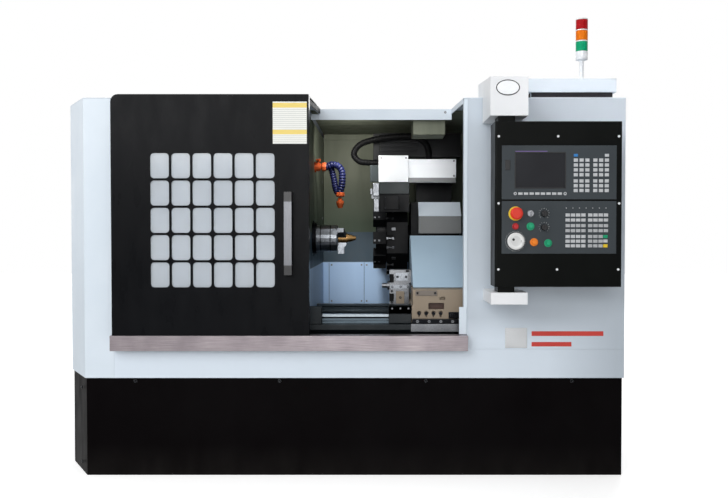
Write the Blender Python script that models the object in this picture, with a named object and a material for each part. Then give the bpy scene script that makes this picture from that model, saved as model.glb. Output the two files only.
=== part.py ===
"""A CNC turning lathe: a flat bed in a sheet-metal enclosure, with a rear turret.

Metres, +Z up. X runs along the spindle, to the right as the operator sees it, and -Y faces the
operator. The origin lies on the floor, under the middle of the machine's bounding box.
"""

import math

import bmesh
import bpy
from mathutils import Matrix, Vector

# Overall sizes
WIDTH = 2.18
DEPTH = 1.50
BODY_DEPTH = 1.25
BODY_HEIGHT = 1.440
BASE_HEIGHT = 0.374

# Shared clearances
GAP = 0.0003
RUNNING_GAP = 0.0005
OVERRUN = 0.004
SIDES = 24

# Enclosure
SHEET = 0.003
CHAMFER_X = 0.124
CHAMFER_Y = 0.195
BAND_HEIGHT = 0.1105
SILL_HEIGHT = 0.057
DOORWAY_LEFT = -0.114
DOORWAY_WIDTH = 0.591

# Spindle line and turret line
SPINDLE_Y = -0.080
SPINDLE_Z = 0.905
TURRET_Y = 0.250
BED_TOP = 0.566

LEFT = -WIDTH / 2
RIGHT = WIDTH / 2
BACK = DEPTH / 2
FRONT = BACK - BODY_DEPTH
REACH_FRONT = -DEPTH / 2
BAND_TOP = BASE_HEIGHT + BAND_HEIGHT
SILL_TOP = BAND_TOP + SILL_HEIGHT
ROOF_UNDER = BODY_HEIGHT - SHEET
DOORWAY_RIGHT = DOORWAY_LEFT + DOORWAY_WIDTH
SPINDLE = (SPINDLE_Y, SPINDLE_Z)
TURRET = (TURRET_Y, SPINDLE_Z)


def finish(name, colour, roughness, metallic):
    material = bpy.data.materials.new(name)
    material.use_nodes = True
    shader = material.node_tree.nodes["Principled BSDF"]
    shader.inputs["Base Color"].default_value = (*colour, 1)
    shader.inputs["Roughness"].default_value = roughness
    shader.inputs["Metallic"].default_value = metallic
    return material


# Shapes. Each returns a new bmesh in world space


def placed(axis, along, across, up):
    """A point from its coordinate on the axis and its two others, in X, Y, Z order."""
    if axis == "X":
        return along, across, up
    if axis == "Y":
        return across, along, up
    return across, up, along


def block(low, high):
    shape = bmesh.new()
    size = Vector(high) - Vector(low)
    middle = (Vector(high) + Vector(low)) / 2
    bmesh.ops.create_cube(shape, size=1, matrix=Matrix.Translation(middle) @ Matrix.Diagonal((*size, 1)))
    return shape


def prism(outline, axis, start, end):
    shape = bmesh.new()
    ends = [[shape.verts.new(placed(axis, at, *p)) for p in outline] for at in (start, end)]
    for ring in ends:
        shape.faces.new(ring)
    for n in range(len(outline)):
        m = (n + 1) % len(outline)
        shape.faces.new((ends[0][n], ends[0][m], ends[1][m], ends[1][n]))
    bmesh.ops.recalc_face_normals(shape, faces=shape.faces)
    return shape


def turned(profile, axis, centre, sides=SIDES):
    """Turn (along, radius) points round the axis; a profile with no zero radius is a closed ring."""
    shape = bmesh.new()
    rings = []
    for along, radius in profile:
        turns = [2 * math.pi * n / sides for n in range(sides if radius else 1)]
        around = [(centre[0] + radius * math.cos(t), centre[1] + radius * math.sin(t)) for t in turns]
        rings.append([shape.verts.new(placed(axis, along, *p)) for p in around])
    hollow = all(radius for along, radius in profile)
    pairs = list(zip(rings, rings[1:]))
    if hollow:
        pairs.append((rings[-1], rings[0]))
    for first, second in pairs:
        for n in range(sides):
            m = (n + 1) % sides
            corners = [first[n % len(first)], first[m % len(first)]]
            corners += [second[m % len(second)], second[n % len(second)]]
            shape.faces.new(list(dict.fromkeys(corners)))
    bmesh.ops.recalc_face_normals(shape, faces=shape.faces)
    return shape


def rod(axis, centre, radius, start, end, sides=SIDES):
    return turned([(start, 0), (start, radius), (end, radius), (end, 0)], axis, centre, sides)


def rotated(shape, axis, centre, angle):
    pivot = Vector(placed(axis, 0, *centre))
    bmesh.ops.rotate(shape, cent=pivot, matrix=Matrix.Rotation(angle, 3, axis), verts=shape.verts)
    return shape


def together(shapes):
    """Several separate shapes in one bmesh, for a single cut or union."""
    whole = bmesh.new()
    for shape in shapes:
        mesh = bpy.data.meshes.new("shape")
        shape.to_mesh(mesh)
        whole.from_mesh(mesh)
        bpy.data.meshes.remove(mesh)
    return whole


def rounded(low, high, radius, steps=3):
    """A rectangle's outline with round corners."""
    outline = []
    corners = ((high[0], high[1], 0), (low[0], high[1], 1), (low[0], low[1], 2), (high[0], low[1], 3))
    for u, v, quarter in corners:
        centre_u = u - radius if u == high[0] else u + radius
        centre_v = v - radius if v == high[1] else v + radius
        for n in range(steps + 1):
            turn = math.pi / 2 * (quarter + n / steps)
            outline.append((centre_u + radius * math.cos(turn), centre_v + radius * math.sin(turn)))
    return outline


def bore_radius(shaft):
    """The corner radius of a faceted bore that a shaft turns in."""
    return (shaft + RUNNING_GAP) / math.cos(math.pi / SIDES)


# Objects


def solid(name, shape, material, pivot=(0, 0, 0), smooth=False):
    mesh = bpy.data.meshes.new(name)
    bmesh.ops.translate(shape, vec=-Vector(pivot), verts=shape.verts)
    shape.to_mesh(mesh)
    mesh.materials.append(material)
    if smooth:
        mesh.shade_smooth()
        mesh.set_sharp_from_angle(angle=math.radians(35))
    piece = bpy.data.objects.new(name, mesh)
    piece.location = pivot
    bpy.context.scene.collection.objects.link(piece)
    return piece


def combine(piece, shape, operation):
    tool = solid("tool_" + piece.name, shape, piece.data.materials[0])
    tool.hide_render = True
    tool.display_type = "WIRE"
    boolean = piece.modifiers.new(operation.lower(), "BOOLEAN")
    boolean.operation = operation
    boolean.solver = "EXACT"
    boolean.object = tool


def cut(piece, *shapes):
    for shape in shapes:
        combine(piece, shape, "DIFFERENCE")


def fuse(piece, *shapes):
    for shape in shapes:
        combine(piece, shape, "UNION")


def tube(name, route, radius, material):
    """A round tube along a smooth curve through the route's points."""
    steps_per_span = 3
    ends = [2 * Vector(route[0]) - Vector(route[1]), 2 * Vector(route[-1]) - Vector(route[-2])]
    points = [ends[0], *map(Vector, route), ends[1]]
    path = []
    for before, start, end, after in zip(points, points[1:], points[2:], points[3:]):
        for n in range(steps_per_span):
            t = n / steps_per_span
            path.append(
                start
                + (end - before) * t / 2
                + (before - start * 5 / 2 + end * 2 - after / 2) * t**2
                + (start * 3 / 2 - before / 2 - end * 3 / 2 + after / 2) * t**3
            )
    path.append(points[-2])
    curve = bpy.data.curves.new(name, "CURVE")
    curve.dimensions = "3D"
    curve.bevel_depth = radius
    curve.bevel_resolution = 2
    curve.use_fill_caps = True
    spline = curve.splines.new("POLY")
    spline.points.add(len(path) - 1)
    for point, place in zip(spline.points, path):
        point.co = (*place, 1)
    curve.materials.append(material)
    piece = bpy.data.objects.new(name, curve)
    bpy.context.scene.collection.objects.link(piece)
    return piece


def carrier(name, place, pieces):
    """An empty on a joint's axis that carries the pieces of one moving body."""
    empty = bpy.data.objects.new(name, None)
    empty.location = place
    bpy.context.scene.collection.objects.link(empty)
    for piece in pieces:
        piece.parent = empty
        piece.matrix_parent_inverse = Matrix.Translation(-Vector(place))
    return empty


def footprint(inset):
    """The enclosure's plan, with its chamfered front-left corner, moved in by an inset."""
    share = 1 + inset * math.hypot(CHAMFER_X, CHAMFER_Y) / (CHAMFER_X * CHAMFER_Y)
    return [
        (LEFT + CHAMFER_X * (share - inset / CHAMFER_Y), FRONT + inset),
        (RIGHT - inset, FRONT + inset),
        (RIGHT - inset, BACK - inset),
        (LEFT + inset, BACK - inset),
        (LEFT + inset, FRONT + CHAMFER_Y * (share - inset / CHAMFER_X)),
    ]


# Base and bed


def base_plinth(paint):
    inset = 0.006
    wall = 0.010
    deck = 0.012
    plinth = solid("base_plinth", prism(footprint(inset), "Z", 0, BASE_HEIGHT), paint)
    cut(plinth, prism(footprint(inset + wall), "Z", -OVERRUN, BASE_HEIGHT - deck))
    chute_low = (-0.10, -0.30)
    chute_high = (0.75, 0.30)
    cut(plinth, prism(rounded(chute_low, chute_high, wall), "Z", 0, BASE_HEIGHT + OVERRUN))


BED_LEFT = -0.700
BED_END_ROOM = 0.090
BED_RIGHT = RIGHT - BED_END_ROOM
BED_FRONT = -0.400
BED_BACK = 0.450
CHANNEL_LEFT = -0.100
CHANNEL_END = 0.030
CHANNEL_RIGHT = BED_RIGHT - CHANNEL_END
CHANNEL_FLOOR = 0.440
CHANNEL_WIDTH = 0.160
FEED_Y = -0.100
FEED_Z = 0.520
FEED_RADIUS = 0.016
FEED_MOTOR_ROOM = 0.150
FEED_MOTOR_X = CHANNEL_RIGHT - FEED_MOTOR_ROOM
RAIL_WIDTH = 0.034
RAIL_HEIGHT = 0.036
RAIL_Y = (-0.330, 0.120)
LINER_LEFT = -0.130
LINER_INSET = 0.160
LINER_RIGHT = RIGHT - LINER_INSET


def bed_casting(iron):
    foot = 0.040
    rib = 0.060
    waist = [
        (BED_FRONT, BASE_HEIGHT + GAP),
        (BED_BACK, BASE_HEIGHT + GAP),
        (BED_BACK, BASE_HEIGHT + foot),
        (BED_BACK - foot, BASE_HEIGHT + foot + foot / 2),
        (BED_BACK - foot, BED_TOP - foot),
        (BED_BACK, BED_TOP - foot / 2),
        (BED_BACK, BED_TOP),
        (BED_FRONT, BED_TOP),
        (BED_FRONT, BED_TOP - foot / 2),
        (BED_FRONT + foot, BED_TOP - foot),
        (BED_FRONT + foot, BASE_HEIGHT + foot + foot / 2),
        (BED_FRONT, BASE_HEIGHT + foot),
    ]
    bed = solid("bed_casting", prism(waist, "X", BED_LEFT, BED_RIGHT), iron)
    half = CHANNEL_WIDTH / 2
    low = (CHANNEL_LEFT, FEED_Y - half, CHANNEL_FLOOR)
    high = (CHANNEL_RIGHT, FEED_Y + half, BED_TOP + OVERRUN)
    cut(bed, block(low, high))
    chip_windows = []
    count = 3
    window = (CHANNEL_RIGHT - CHANNEL_LEFT - rib * (count + 1)) / count
    for n in range(count):
        start = CHANNEL_LEFT + rib + n * (window + rib)
        low = (start, RAIL_Y[1] + RAIL_WIDTH, BASE_HEIGHT - OVERRUN)
        high = (start + window, BED_BACK - foot - rib, BED_TOP + OVERRUN)
        chip_windows.append(block(low, high))
    cut(bed, together(chip_windows))


def guide_rails(steel):
    notch = 0.005
    half = RAIL_WIDTH / 2
    bottom = BED_TOP + GAP
    top = BED_TOP + RAIL_HEIGHT
    for name, y in zip(("front_rail", "rear_rail"), RAIL_Y):
        right_side = [
            (y + half, bottom),
            (y + half, bottom + notch),
            (y + half - notch, bottom + 2 * notch),
            (y + half - notch, top - 3 * notch),
            (y + half, top - 2 * notch),
            (y + half, top),
        ]
        left_side = [(2 * y - across, up) for across, up in reversed(right_side)]
        shape = prism(right_side + left_side, "X", LINER_LEFT + GAP, BED_RIGHT - RAIL_HEIGHT)
        solid(name, shape, steel)


def feed_screw(steel, dark):
    z_screw = solid(
        "z_screw",
        rod("X", (FEED_Y, FEED_Z), FEED_RADIUS, CHANNEL_LEFT + GAP, FEED_MOTOR_X, 16),
        steel,
        (0, FEED_Y, FEED_Z),
        True,
    )
    carrier("z_screw_axis", (0, FEED_Y, FEED_Z), [z_screw])
    half = 0.060
    flange = 0.012
    bottom = CHANNEL_FLOOR + GAP
    low = (FEED_MOTOR_X + GAP, FEED_Y - half, bottom)
    high = (FEED_MOTOR_X + flange, FEED_Y + half, bottom + 2 * half)
    motor = solid("z_motor", block(low, high), dark)
    low = (FEED_MOTOR_X + flange / 2, FEED_Y - half + flange, bottom)
    high = (CHANNEL_RIGHT - flange, FEED_Y + half - flange, bottom + 2 * half - flange)
    fuse(motor, block(low, high))


# Enclosure


def corner_sheet(points, thickness):
    """A folded sheet's outline in plan, from its outer line and its thickness, turning inwards."""
    inner = []
    for n, point in enumerate(points):
        here = Vector(point)
        sides = []
        if n > 0:
            sides.append((here - Vector(points[n - 1])).normalized())
        if n < len(points) - 1:
            sides.append((Vector(points[n + 1]) - here).normalized())
        normals = [Vector((-side.y, side.x)) for side in sides]
        middle = sum(normals, Vector((0, 0))).normalized()
        inner.append(tuple(here + middle * thickness / middle.dot(normals[0])))
    return list(points) + inner[::-1]


SEAM_INSET = 0.235
SEAM_X = LEFT + SEAM_INSET
JAMB = 0.030


def cabinets(paint):
    bottom = BASE_HEIGHT + GAP
    top = ROOF_UNDER - GAP
    outer = [
        (LEFT, BACK),
        (LEFT, FRONT + CHAMFER_Y),
        (LEFT + CHAMFER_X, FRONT),
        (DOORWAY_LEFT, FRONT),
    ]
    left = solid("left_cabinet", prism(corner_sheet(outer, SHEET), "Z", bottom, top), paint)
    low = (SEAM_X, FRONT - OVERRUN, BASE_HEIGHT)
    high = (DOORWAY_LEFT + OVERRUN, FRONT + OVERRUN, SILL_TOP)
    cut(left, block(low, high))
    band_low = (SEAM_X + GAP, FRONT, bottom)
    band_high = (RIGHT - SHEET - GAP, FRONT + SHEET, BAND_TOP)
    solid("lower_front_panel", block(band_low, band_high), paint)
    outer = [(DOORWAY_RIGHT, FRONT + JAMB), (DOORWAY_RIGHT, FRONT), (RIGHT, FRONT), (RIGHT, BACK)]
    right = solid("right_cabinet", prism(corner_sheet(outer, SHEET), "Z", bottom, top), paint)
    low = (DOORWAY_RIGHT - OVERRUN, FRONT - OVERRUN, BASE_HEIGHT)
    high = (RIGHT - SHEET, FRONT + JAMB + OVERRUN, BAND_TOP + GAP)
    cut(right, block(low, high))
    low = (LEFT + SHEET + GAP, BACK - SHEET, bottom)
    high = (RIGHT - SHEET - GAP, BACK, top)
    cover = solid("rear_cover", block(low, high), paint)
    louvre_width = 0.300
    louvre_height = 0.010
    louvre_pitch = 0.030
    louvres = []
    for side in (-1, 1):
        for n in range(8):
            low = (side * WIDTH / 4 - louvre_width / 2, BACK - SHEET - OVERRUN, BAND_TOP + n * louvre_pitch)
            high = (low[0] + louvre_width, BACK + OVERRUN, low[2] + louvre_height)
            louvres.append(block(low, high))
    cut(cover, together(louvres))


HEADER_Y = -0.220
HEADER_HEIGHT = 0.044
NOTCH_TAPER = 0.023


def roof_panel(paint):
    roof = solid("roof_panel", prism(footprint(0), "Z", ROOF_UNDER, BODY_HEIGHT), paint)
    skirt = 0.020
    skirt_start = FRONT + JAMB + RUNNING_GAP
    in_sheet = BODY_HEIGHT - SHEET / 2
    rim = [
        (DOORWAY_LEFT - SHEET, skirt_start),
        (DOORWAY_RIGHT + SHEET, skirt_start),
        (DOORWAY_RIGHT + SHEET - NOTCH_TAPER, HEADER_Y + SHEET),
        (DOORWAY_LEFT - SHEET + NOTCH_TAPER, HEADER_Y + SHEET),
    ]
    fuse(roof, prism(rim, "Z", BODY_HEIGHT - skirt, in_sheet))
    low = (DOORWAY_LEFT + NOTCH_TAPER - SHEET / 2, HEADER_Y - SHEET, BODY_HEIGHT - HEADER_HEIGHT)
    high = (DOORWAY_RIGHT - NOTCH_TAPER + SHEET / 2, HEADER_Y + 2 * SHEET, in_sheet)
    fuse(roof, block(low, high))
    notch = [
        (DOORWAY_LEFT, FRONT - OVERRUN),
        (DOORWAY_RIGHT, FRONT - OVERRUN),
        (DOORWAY_RIGHT - NOTCH_TAPER, HEADER_Y),
        (DOORWAY_LEFT + NOTCH_TAPER, HEADER_Y),
    ]
    cut(roof, prism(notch, "Z", BODY_HEIGHT - 2 * HEADER_HEIGHT, BODY_HEIGHT + OVERRUN))
    fuse(roof, block(HOOD_FOOT_LOW, HOOD_FOOT_HIGH), block(HOOD_LOW, HOOD_HIGH))


HOOD_INSET = 0.012
HOOD_SLOT = 0.0245
HOOD_RISE = 0.076
HOOD_WIDTH = 0.335
HOOD_MARGIN = 0.030
HOOD_FRONT = -0.480
HOOD_BACK = 0.100
HOOD_LOW = (RIGHT - HOOD_MARGIN - HOOD_WIDTH, HOOD_FRONT, BODY_HEIGHT + HOOD_SLOT)
HOOD_HIGH = (RIGHT - HOOD_MARGIN, HOOD_BACK, BODY_HEIGHT + HOOD_RISE)
HOOD_FOOT_LOW = (HOOD_LOW[0] + HOOD_INSET, HOOD_LOW[1] + HOOD_INSET, ROOF_UNDER)
HOOD_FOOT_HIGH = (HOOD_HIGH[0] - HOOD_INSET, HOOD_HIGH[1] - HOOD_INSET, HOOD_LOW[2] + HOOD_INSET)

DOOR_THICKNESS = 0.040
DOOR_CLEAR = 0.005
DOOR_SKIN_Y = FRONT - DOOR_CLEAR - DOOR_THICKNESS
SILL_RIGHT = DOORWAY_RIGHT + 0.012


def sill_strip(steel):
    ledge = DOOR_SKIN_Y - 0.006
    lip = 0.010
    outline = [
        (ledge, BAND_TOP + GAP),
        (FRONT - GAP, BAND_TOP + GAP),
        (FRONT - GAP, SILL_TOP),
        (ledge, SILL_TOP),
    ]
    sill = solid("sill_strip", prism(outline, "X", SEAM_X + GAP, SILL_RIGHT), steel)
    low = (SEAM_X + lip, FRONT - GAP - lip, BAND_TOP)
    high = (SILL_RIGHT - lip, FRONT, SILL_TOP - lip)
    cut(sill, block(low, high))


LINER_SHEET = 0.003
LINER_BACK = 0.580
LINER_LOWER_BACK = 0.520
LINER_FOLD_Z = 0.778
LINER_BEND_Z = 0.931
LINER_TOP = ROOF_UNDER - 0.030
NOSE_HOLE = 0.076


def work_liner(paint):
    outer = [
        (LINER_LOWER_BACK + LINER_SHEET, BED_TOP + GAP),
        (LINER_LOWER_BACK + LINER_SHEET, LINER_FOLD_Z),
        (LINER_BACK + LINER_SHEET, LINER_BEND_Z),
        (LINER_BACK + LINER_SHEET, LINER_TOP),
    ]
    back = corner_sheet(outer, LINER_SHEET)
    liner = solid("work_liner", prism(back, "X", LINER_LEFT - LINER_SHEET, LINER_RIGHT), paint)
    start = FRONT + SHEET + GAP
    end = (start, LINER_TOP), (start, BED_TOP + GAP)
    side = [*outer, *end]
    fuse(liner, prism(side, "X", LINER_LEFT - LINER_SHEET, LINER_LEFT))
    fuse(liner, prism(side, "X", LINER_RIGHT - LINER_SHEET, LINER_RIGHT))
    cut(liner, rod("X", SPINDLE, NOSE_HOLE, LINER_LEFT - LINER_SHEET - OVERRUN, LINER_LEFT + OVERRUN))
    slot = BED_TOP + RAIL_HEIGHT
    low = (LINER_RIGHT - LINER_SHEET - OVERRUN, BED_FRONT, BED_TOP - OVERRUN)
    high = (LINER_RIGHT + OVERRUN, BED_BACK, slot)
    cut(liner, block(low, high))


# Headstock and drive

HEAD_LEFT = -0.560
HEAD_RIGHT = -0.160
HEAD_RADIUS = 0.150
SPINDLE_RADIUS = 0.050
SPINDLE_BORE = 0.018
NOSE_RADIUS = 0.067
NOSE_LEFT = -0.155
CHUCK_LEFT = -0.114
CHUCK_RIGHT = -0.023
CHUCK_RADIUS = 0.0565
PULLEY_LEFT = -0.680
PULLEY_RIGHT = -0.600
PULLEY_RIM = 0.003
SPINDLE_PULLEY_RADIUS = 0.095
MOTOR_PULLEY_RADIUS = 0.055
MOTOR_Y = 0.330
MOTOR_Z = 0.700
MOTOR_RADIUS = 0.105
MOTOR_LEFT = -0.520
MOTOR_RIGHT = -0.200


def headstock(iron):
    foot = 0.030
    shoulder = 0.040
    bottom = BED_TOP + GAP
    steps = 12
    outline = [
        (SPINDLE_Y - HEAD_RADIUS - shoulder, bottom),
        (SPINDLE_Y - HEAD_RADIUS - shoulder, bottom + foot),
        (SPINDLE_Y - HEAD_RADIUS, bottom + foot + shoulder),
    ]
    for n in range(steps + 1):
        turn = math.pi * (1 - n / steps)
        across = SPINDLE_Y + HEAD_RADIUS * math.cos(turn)
        outline.append((across, SPINDLE_Z + HEAD_RADIUS * math.sin(turn)))
    outline.append((SPINDLE_Y + HEAD_RADIUS, bottom + foot + shoulder))
    outline.append((SPINDLE_Y + HEAD_RADIUS + shoulder, bottom + foot))
    outline.append((SPINDLE_Y + HEAD_RADIUS + shoulder, bottom))
    head = solid("headstock", prism(outline, "X", HEAD_LEFT, HEAD_RIGHT), iron)
    bore = bore_radius(SPINDLE_RADIUS)
    cut(head, rod("X", SPINDLE, bore, HEAD_LEFT - OVERRUN, HEAD_RIGHT + OVERRUN))


def pulley_profile(radius, shaft, shaft_end):
    """The outer line of a flanged pulley and the shaft on its right, as (along, radius)."""
    rim = PULLEY_RIM
    return [
        (PULLEY_LEFT, radius + 2 * rim),
        (PULLEY_LEFT + rim, radius + 2 * rim),
        (PULLEY_LEFT + rim, radius),
        (PULLEY_RIGHT - rim, radius),
        (PULLEY_RIGHT - rim, radius + 2 * rim),
        (PULLEY_RIGHT, radius + 2 * rim),
        (PULLEY_RIGHT, shaft),
        (shaft_end, shaft),
    ]


def spindle_group(steel, chuck_steel, brass):
    profile = pulley_profile(SPINDLE_PULLEY_RADIUS, SPINDLE_RADIUS, NOSE_LEFT)
    profile += [
        (NOSE_LEFT, NOSE_RADIUS),
        (CHUCK_LEFT - GAP, NOSE_RADIUS),
        (CHUCK_LEFT - GAP, SPINDLE_BORE),
        (PULLEY_LEFT, SPINDLE_BORE),
    ]
    pivot = (0, *SPINDLE)
    spindle = solid("spindle", turned(profile, "X", SPINDLE), steel, pivot, True)
    bevel = 0.004
    chuck_profile = [
        (CHUCK_LEFT, CHUCK_RADIUS),
        (CHUCK_RIGHT - bevel, CHUCK_RADIUS),
        (CHUCK_RIGHT, CHUCK_RADIUS - bevel),
        (CHUCK_RIGHT, SPINDLE_BORE),
        (CHUCK_LEFT, SPINDLE_BORE),
    ]
    chuck = solid("chuck_body", turned(chuck_profile, "X", SPINDLE), chuck_steel, pivot, True)
    jaws = []
    for n, turn_degrees in enumerate(JAW_ANGLES):
        turn = math.radians(turn_degrees)
        half = JAW_WIDTH / 2 + GAP
        slot_low = (CHUCK_RIGHT - JAW_DEPTH - GAP, SPINDLE_Y + JAW_INNER - GAP, SPINDLE_Z - half)
        slot_high = (CHUCK_RIGHT + OVERRUN, SPINDLE_Y + CHUCK_RADIUS + OVERRUN, SPINDLE_Z + half)
        cut(chuck, rotated(block(slot_low, slot_high), "X", SPINDLE, turn))
        step = JAW_STEP
        side = [
            (CHUCK_RIGHT - JAW_DEPTH, SPINDLE_Y + JAW_INNER),
            (JAW_TIP, SPINDLE_Y + JAW_INNER),
            (JAW_TIP, SPINDLE_Y + JAW_INNER + step),
            (JAW_TIP - step, SPINDLE_Y + JAW_INNER + 2 * step),
            (JAW_TIP - step, SPINDLE_Y + JAW_OUTER),
            (CHUCK_RIGHT + GAP, SPINDLE_Y + JAW_OUTER),
            (CHUCK_RIGHT + GAP, SPINDLE_Y + CHUCK_RADIUS - bevel),
            (CHUCK_RIGHT - JAW_DEPTH, SPINDLE_Y + CHUCK_RADIUS - bevel),
        ]
        jaw_shape = prism(side, "Z", SPINDLE_Z - JAW_WIDTH / 2, SPINDLE_Z + JAW_WIDTH / 2)
        shape = rotated(jaw_shape, "X", SPINDLE, turn)
        jaws.append(solid(f"chuck_jaw_{n + 1}", shape, chuck_steel, pivot))
    tip_radius = 0.008
    cone_start = JAW_TIP + bevel
    work_profile = [
        (CHUCK_RIGHT + GAP, 0),
        (CHUCK_RIGHT + GAP, JAW_INNER - GAP),
        (cone_start, JAW_INNER - GAP),
        (WORK_TIP, tip_radius),
        (WORK_TIP, 0),
    ]
    work = solid("workpiece", turned(work_profile, "X", SPINDLE), brass, pivot, True)
    carrier("spindle_axis", pivot, [spindle, chuck, work, *jaws])


JAW_ANGLES = (-90, 30, 150)
JAW_WIDTH = 0.020
JAW_DEPTH = 0.022
JAW_INNER = 0.020
JAW_OUTER = 0.068
JAW_STEP = 0.010
JAW_TIP = 0.014
WORK_TIP = 0.055


def belt_outline(extra):
    """The belt's loop round both pulleys, at an extra distance outside their rims."""
    along = Vector((MOTOR_Y - SPINDLE_Y, MOTOR_Z - SPINDLE_Z))
    lean = math.atan2(along.y, along.x)
    spread = math.acos((SPINDLE_PULLEY_RADIUS - MOTOR_PULLEY_RADIUS) / along.length)
    steps = SIDES // 2
    outline = []
    sweeps = (
        (SPINDLE, SPINDLE_PULLEY_RADIUS, lean + spread, 2 * math.pi - 2 * spread),
        ((MOTOR_Y, MOTOR_Z), MOTOR_PULLEY_RADIUS, lean - spread, 2 * spread),
    )
    for centre, radius, start, sweep in sweeps:
        for n in range(steps + 1):
            turn = start + sweep * n / steps
            reach = (radius + extra) / math.cos(sweep / steps / 2)
            outline.append((centre[0] + reach * math.cos(turn), centre[1] + reach * math.sin(turn)))
    return outline


def spindle_drive(dark, steel, rubber):
    belt = 0.006
    start = PULLEY_LEFT + PULLEY_RIM + RUNNING_GAP
    end = PULLEY_RIGHT - PULLEY_RIM - RUNNING_GAP
    loop = solid("drive_belt", prism(belt_outline(RUNNING_GAP + belt), "X", start, end), rubber)
    cut(loop, prism(belt_outline(RUNNING_GAP), "X", start - OVERRUN, end + OVERRUN))
    shaft = 0.019
    profile = [(PULLEY_LEFT, 0), *pulley_profile(MOTOR_PULLEY_RADIUS, shaft, MOTOR_LEFT - GAP)]
    profile.append((MOTOR_LEFT - GAP, 0))
    pivot = (0, MOTOR_Y, MOTOR_Z)
    pulley = solid("motor_pulley", turned(profile, "X", pivot[1:]), steel, pivot, True)
    carrier("motor_axis", pivot, [pulley])
    cap = 0.030
    body_profile = [
        (MOTOR_LEFT, 0),
        (MOTOR_LEFT, MOTOR_RADIUS),
        (MOTOR_RIGHT - cap, MOTOR_RADIUS),
        (MOTOR_RIGHT, MOTOR_RADIUS - cap),
        (MOTOR_RIGHT, 0),
    ]
    motor = solid("spindle_motor", turned(body_profile, "X", pivot[1:]), dark, (0, 0, 0), True)
    foot_width = 0.080
    low = (MOTOR_LEFT + cap, MOTOR_Y - foot_width, BED_TOP + GAP)
    high = (MOTOR_RIGHT - cap, MOTOR_Y + foot_width, MOTOR_Z)
    fuse(motor, block(low, high))


# Carriage

SADDLE_LEFT = 0.285
SADDLE_RIGHT = 0.565
SADDLE_FRONT = -0.380
SADDLE_BACK = 0.500
SADDLE_BOTTOM = 0.572
SADDLE_TOP = 0.640
APRON_TOP = 0.7035
APRON_BACK = -0.210
NUT_X = (0.400, 0.460)
NUT_HALF = 0.036


def teardrop(x, z, radius, height):
    """A bolt pocket's outline: a round top that narrows to a point below."""
    steps = 8
    outline = []
    for n in range(steps + 1):
        turn = math.pi * n / steps
        outline.append((x + radius * math.cos(turn), z + radius * math.sin(turn)))
    outline.append((x, z - height + radius))
    return outline


def saddle(iron):
    body = solid(
        "saddle",
        block((SADDLE_LEFT, SADDLE_FRONT, SADDLE_BOTTOM), (SADDLE_RIGHT, SADDLE_BACK, SADDLE_TOP)),
        iron,
    )
    step = 0.004
    low = (SADDLE_LEFT + step, SADDLE_FRONT, SADDLE_BOTTOM + step)
    fuse(body, block(low, (SADDLE_RIGHT, APRON_BACK, APRON_TOP)))
    nut_low = (NUT_X[0], FEED_Y - NUT_HALF, FEED_Z - NUT_HALF)
    fuse(body, block(nut_low, (NUT_X[1], FEED_Y + NUT_HALF, SADDLE_BOTTOM + step)))
    tools = [rod("X", (FEED_Y, FEED_Z), bore_radius(FEED_RADIUS), NUT_X[0] - OVERRUN, NUT_X[1] + OVERRUN)]
    half = RAIL_WIDTH / 2 + RUNNING_GAP
    for y in RAIL_Y:
        low = (SADDLE_LEFT - OVERRUN, y - half, SADDLE_BOTTOM - OVERRUN)
        high = (SADDLE_RIGHT + OVERRUN, y + half, BED_TOP + RAIL_HEIGHT + RUNNING_GAP)
        tools.append(block(low, high))
    pocket_pitch = 0.0285
    pocket_radius = 0.0085
    pocket_height = 0.026
    pocket_depth = 0.018
    pocket_x = SADDLE_LEFT + 0.029
    pocket_z = 0.610
    for n in range(4):
        outline = teardrop(pocket_x + n * pocket_pitch, pocket_z, pocket_radius, pocket_height)
        tools.append(prism(outline, "Y", SADDLE_FRONT - OVERRUN, SADDLE_FRONT + pocket_depth))
    recess_low = (SADDLE_LEFT + 0.066, 0.625)
    recess_high = (SADDLE_LEFT + 0.128, 0.650)
    recess = rounded(recess_low, recess_high, step)
    tools.append(prism(recess, "Y", SADDLE_FRONT - OVERRUN, SADDLE_FRONT + pocket_depth))
    slot_low = (SADDLE_LEFT + 0.110, 0.662)
    slot_high = (SADDLE_LEFT + 0.132, 0.674)
    slot = rounded(slot_low, slot_high, step)
    tools.append(prism(slot, "Y", SADDLE_FRONT - OVERRUN, SADDLE_FRONT + pocket_depth))
    cut(body, together(tools))
    return body


CROSS_X = 0.425
CROSS_Z = 0.670
CROSS_RADIUS = 0.0125
CROSS_MOTOR_Y = -0.050
CROSS_MOTOR_LENGTH = 0.140
CROSS_MOTOR_HALF = 0.045
SLIDE_LEFT = 0.300
SLIDE_RIGHT = 0.550
SLIDE_FRONT = 0.090
SLIDE_BACK = 0.450
SLIDE_TOP = 0.700
COVER_LEFT = 0.2933
COVER_RIGHT = 0.620
COVER_FRONT = -0.300
COVER_CREST = 0.0
COVER_TOP = 0.915


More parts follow.
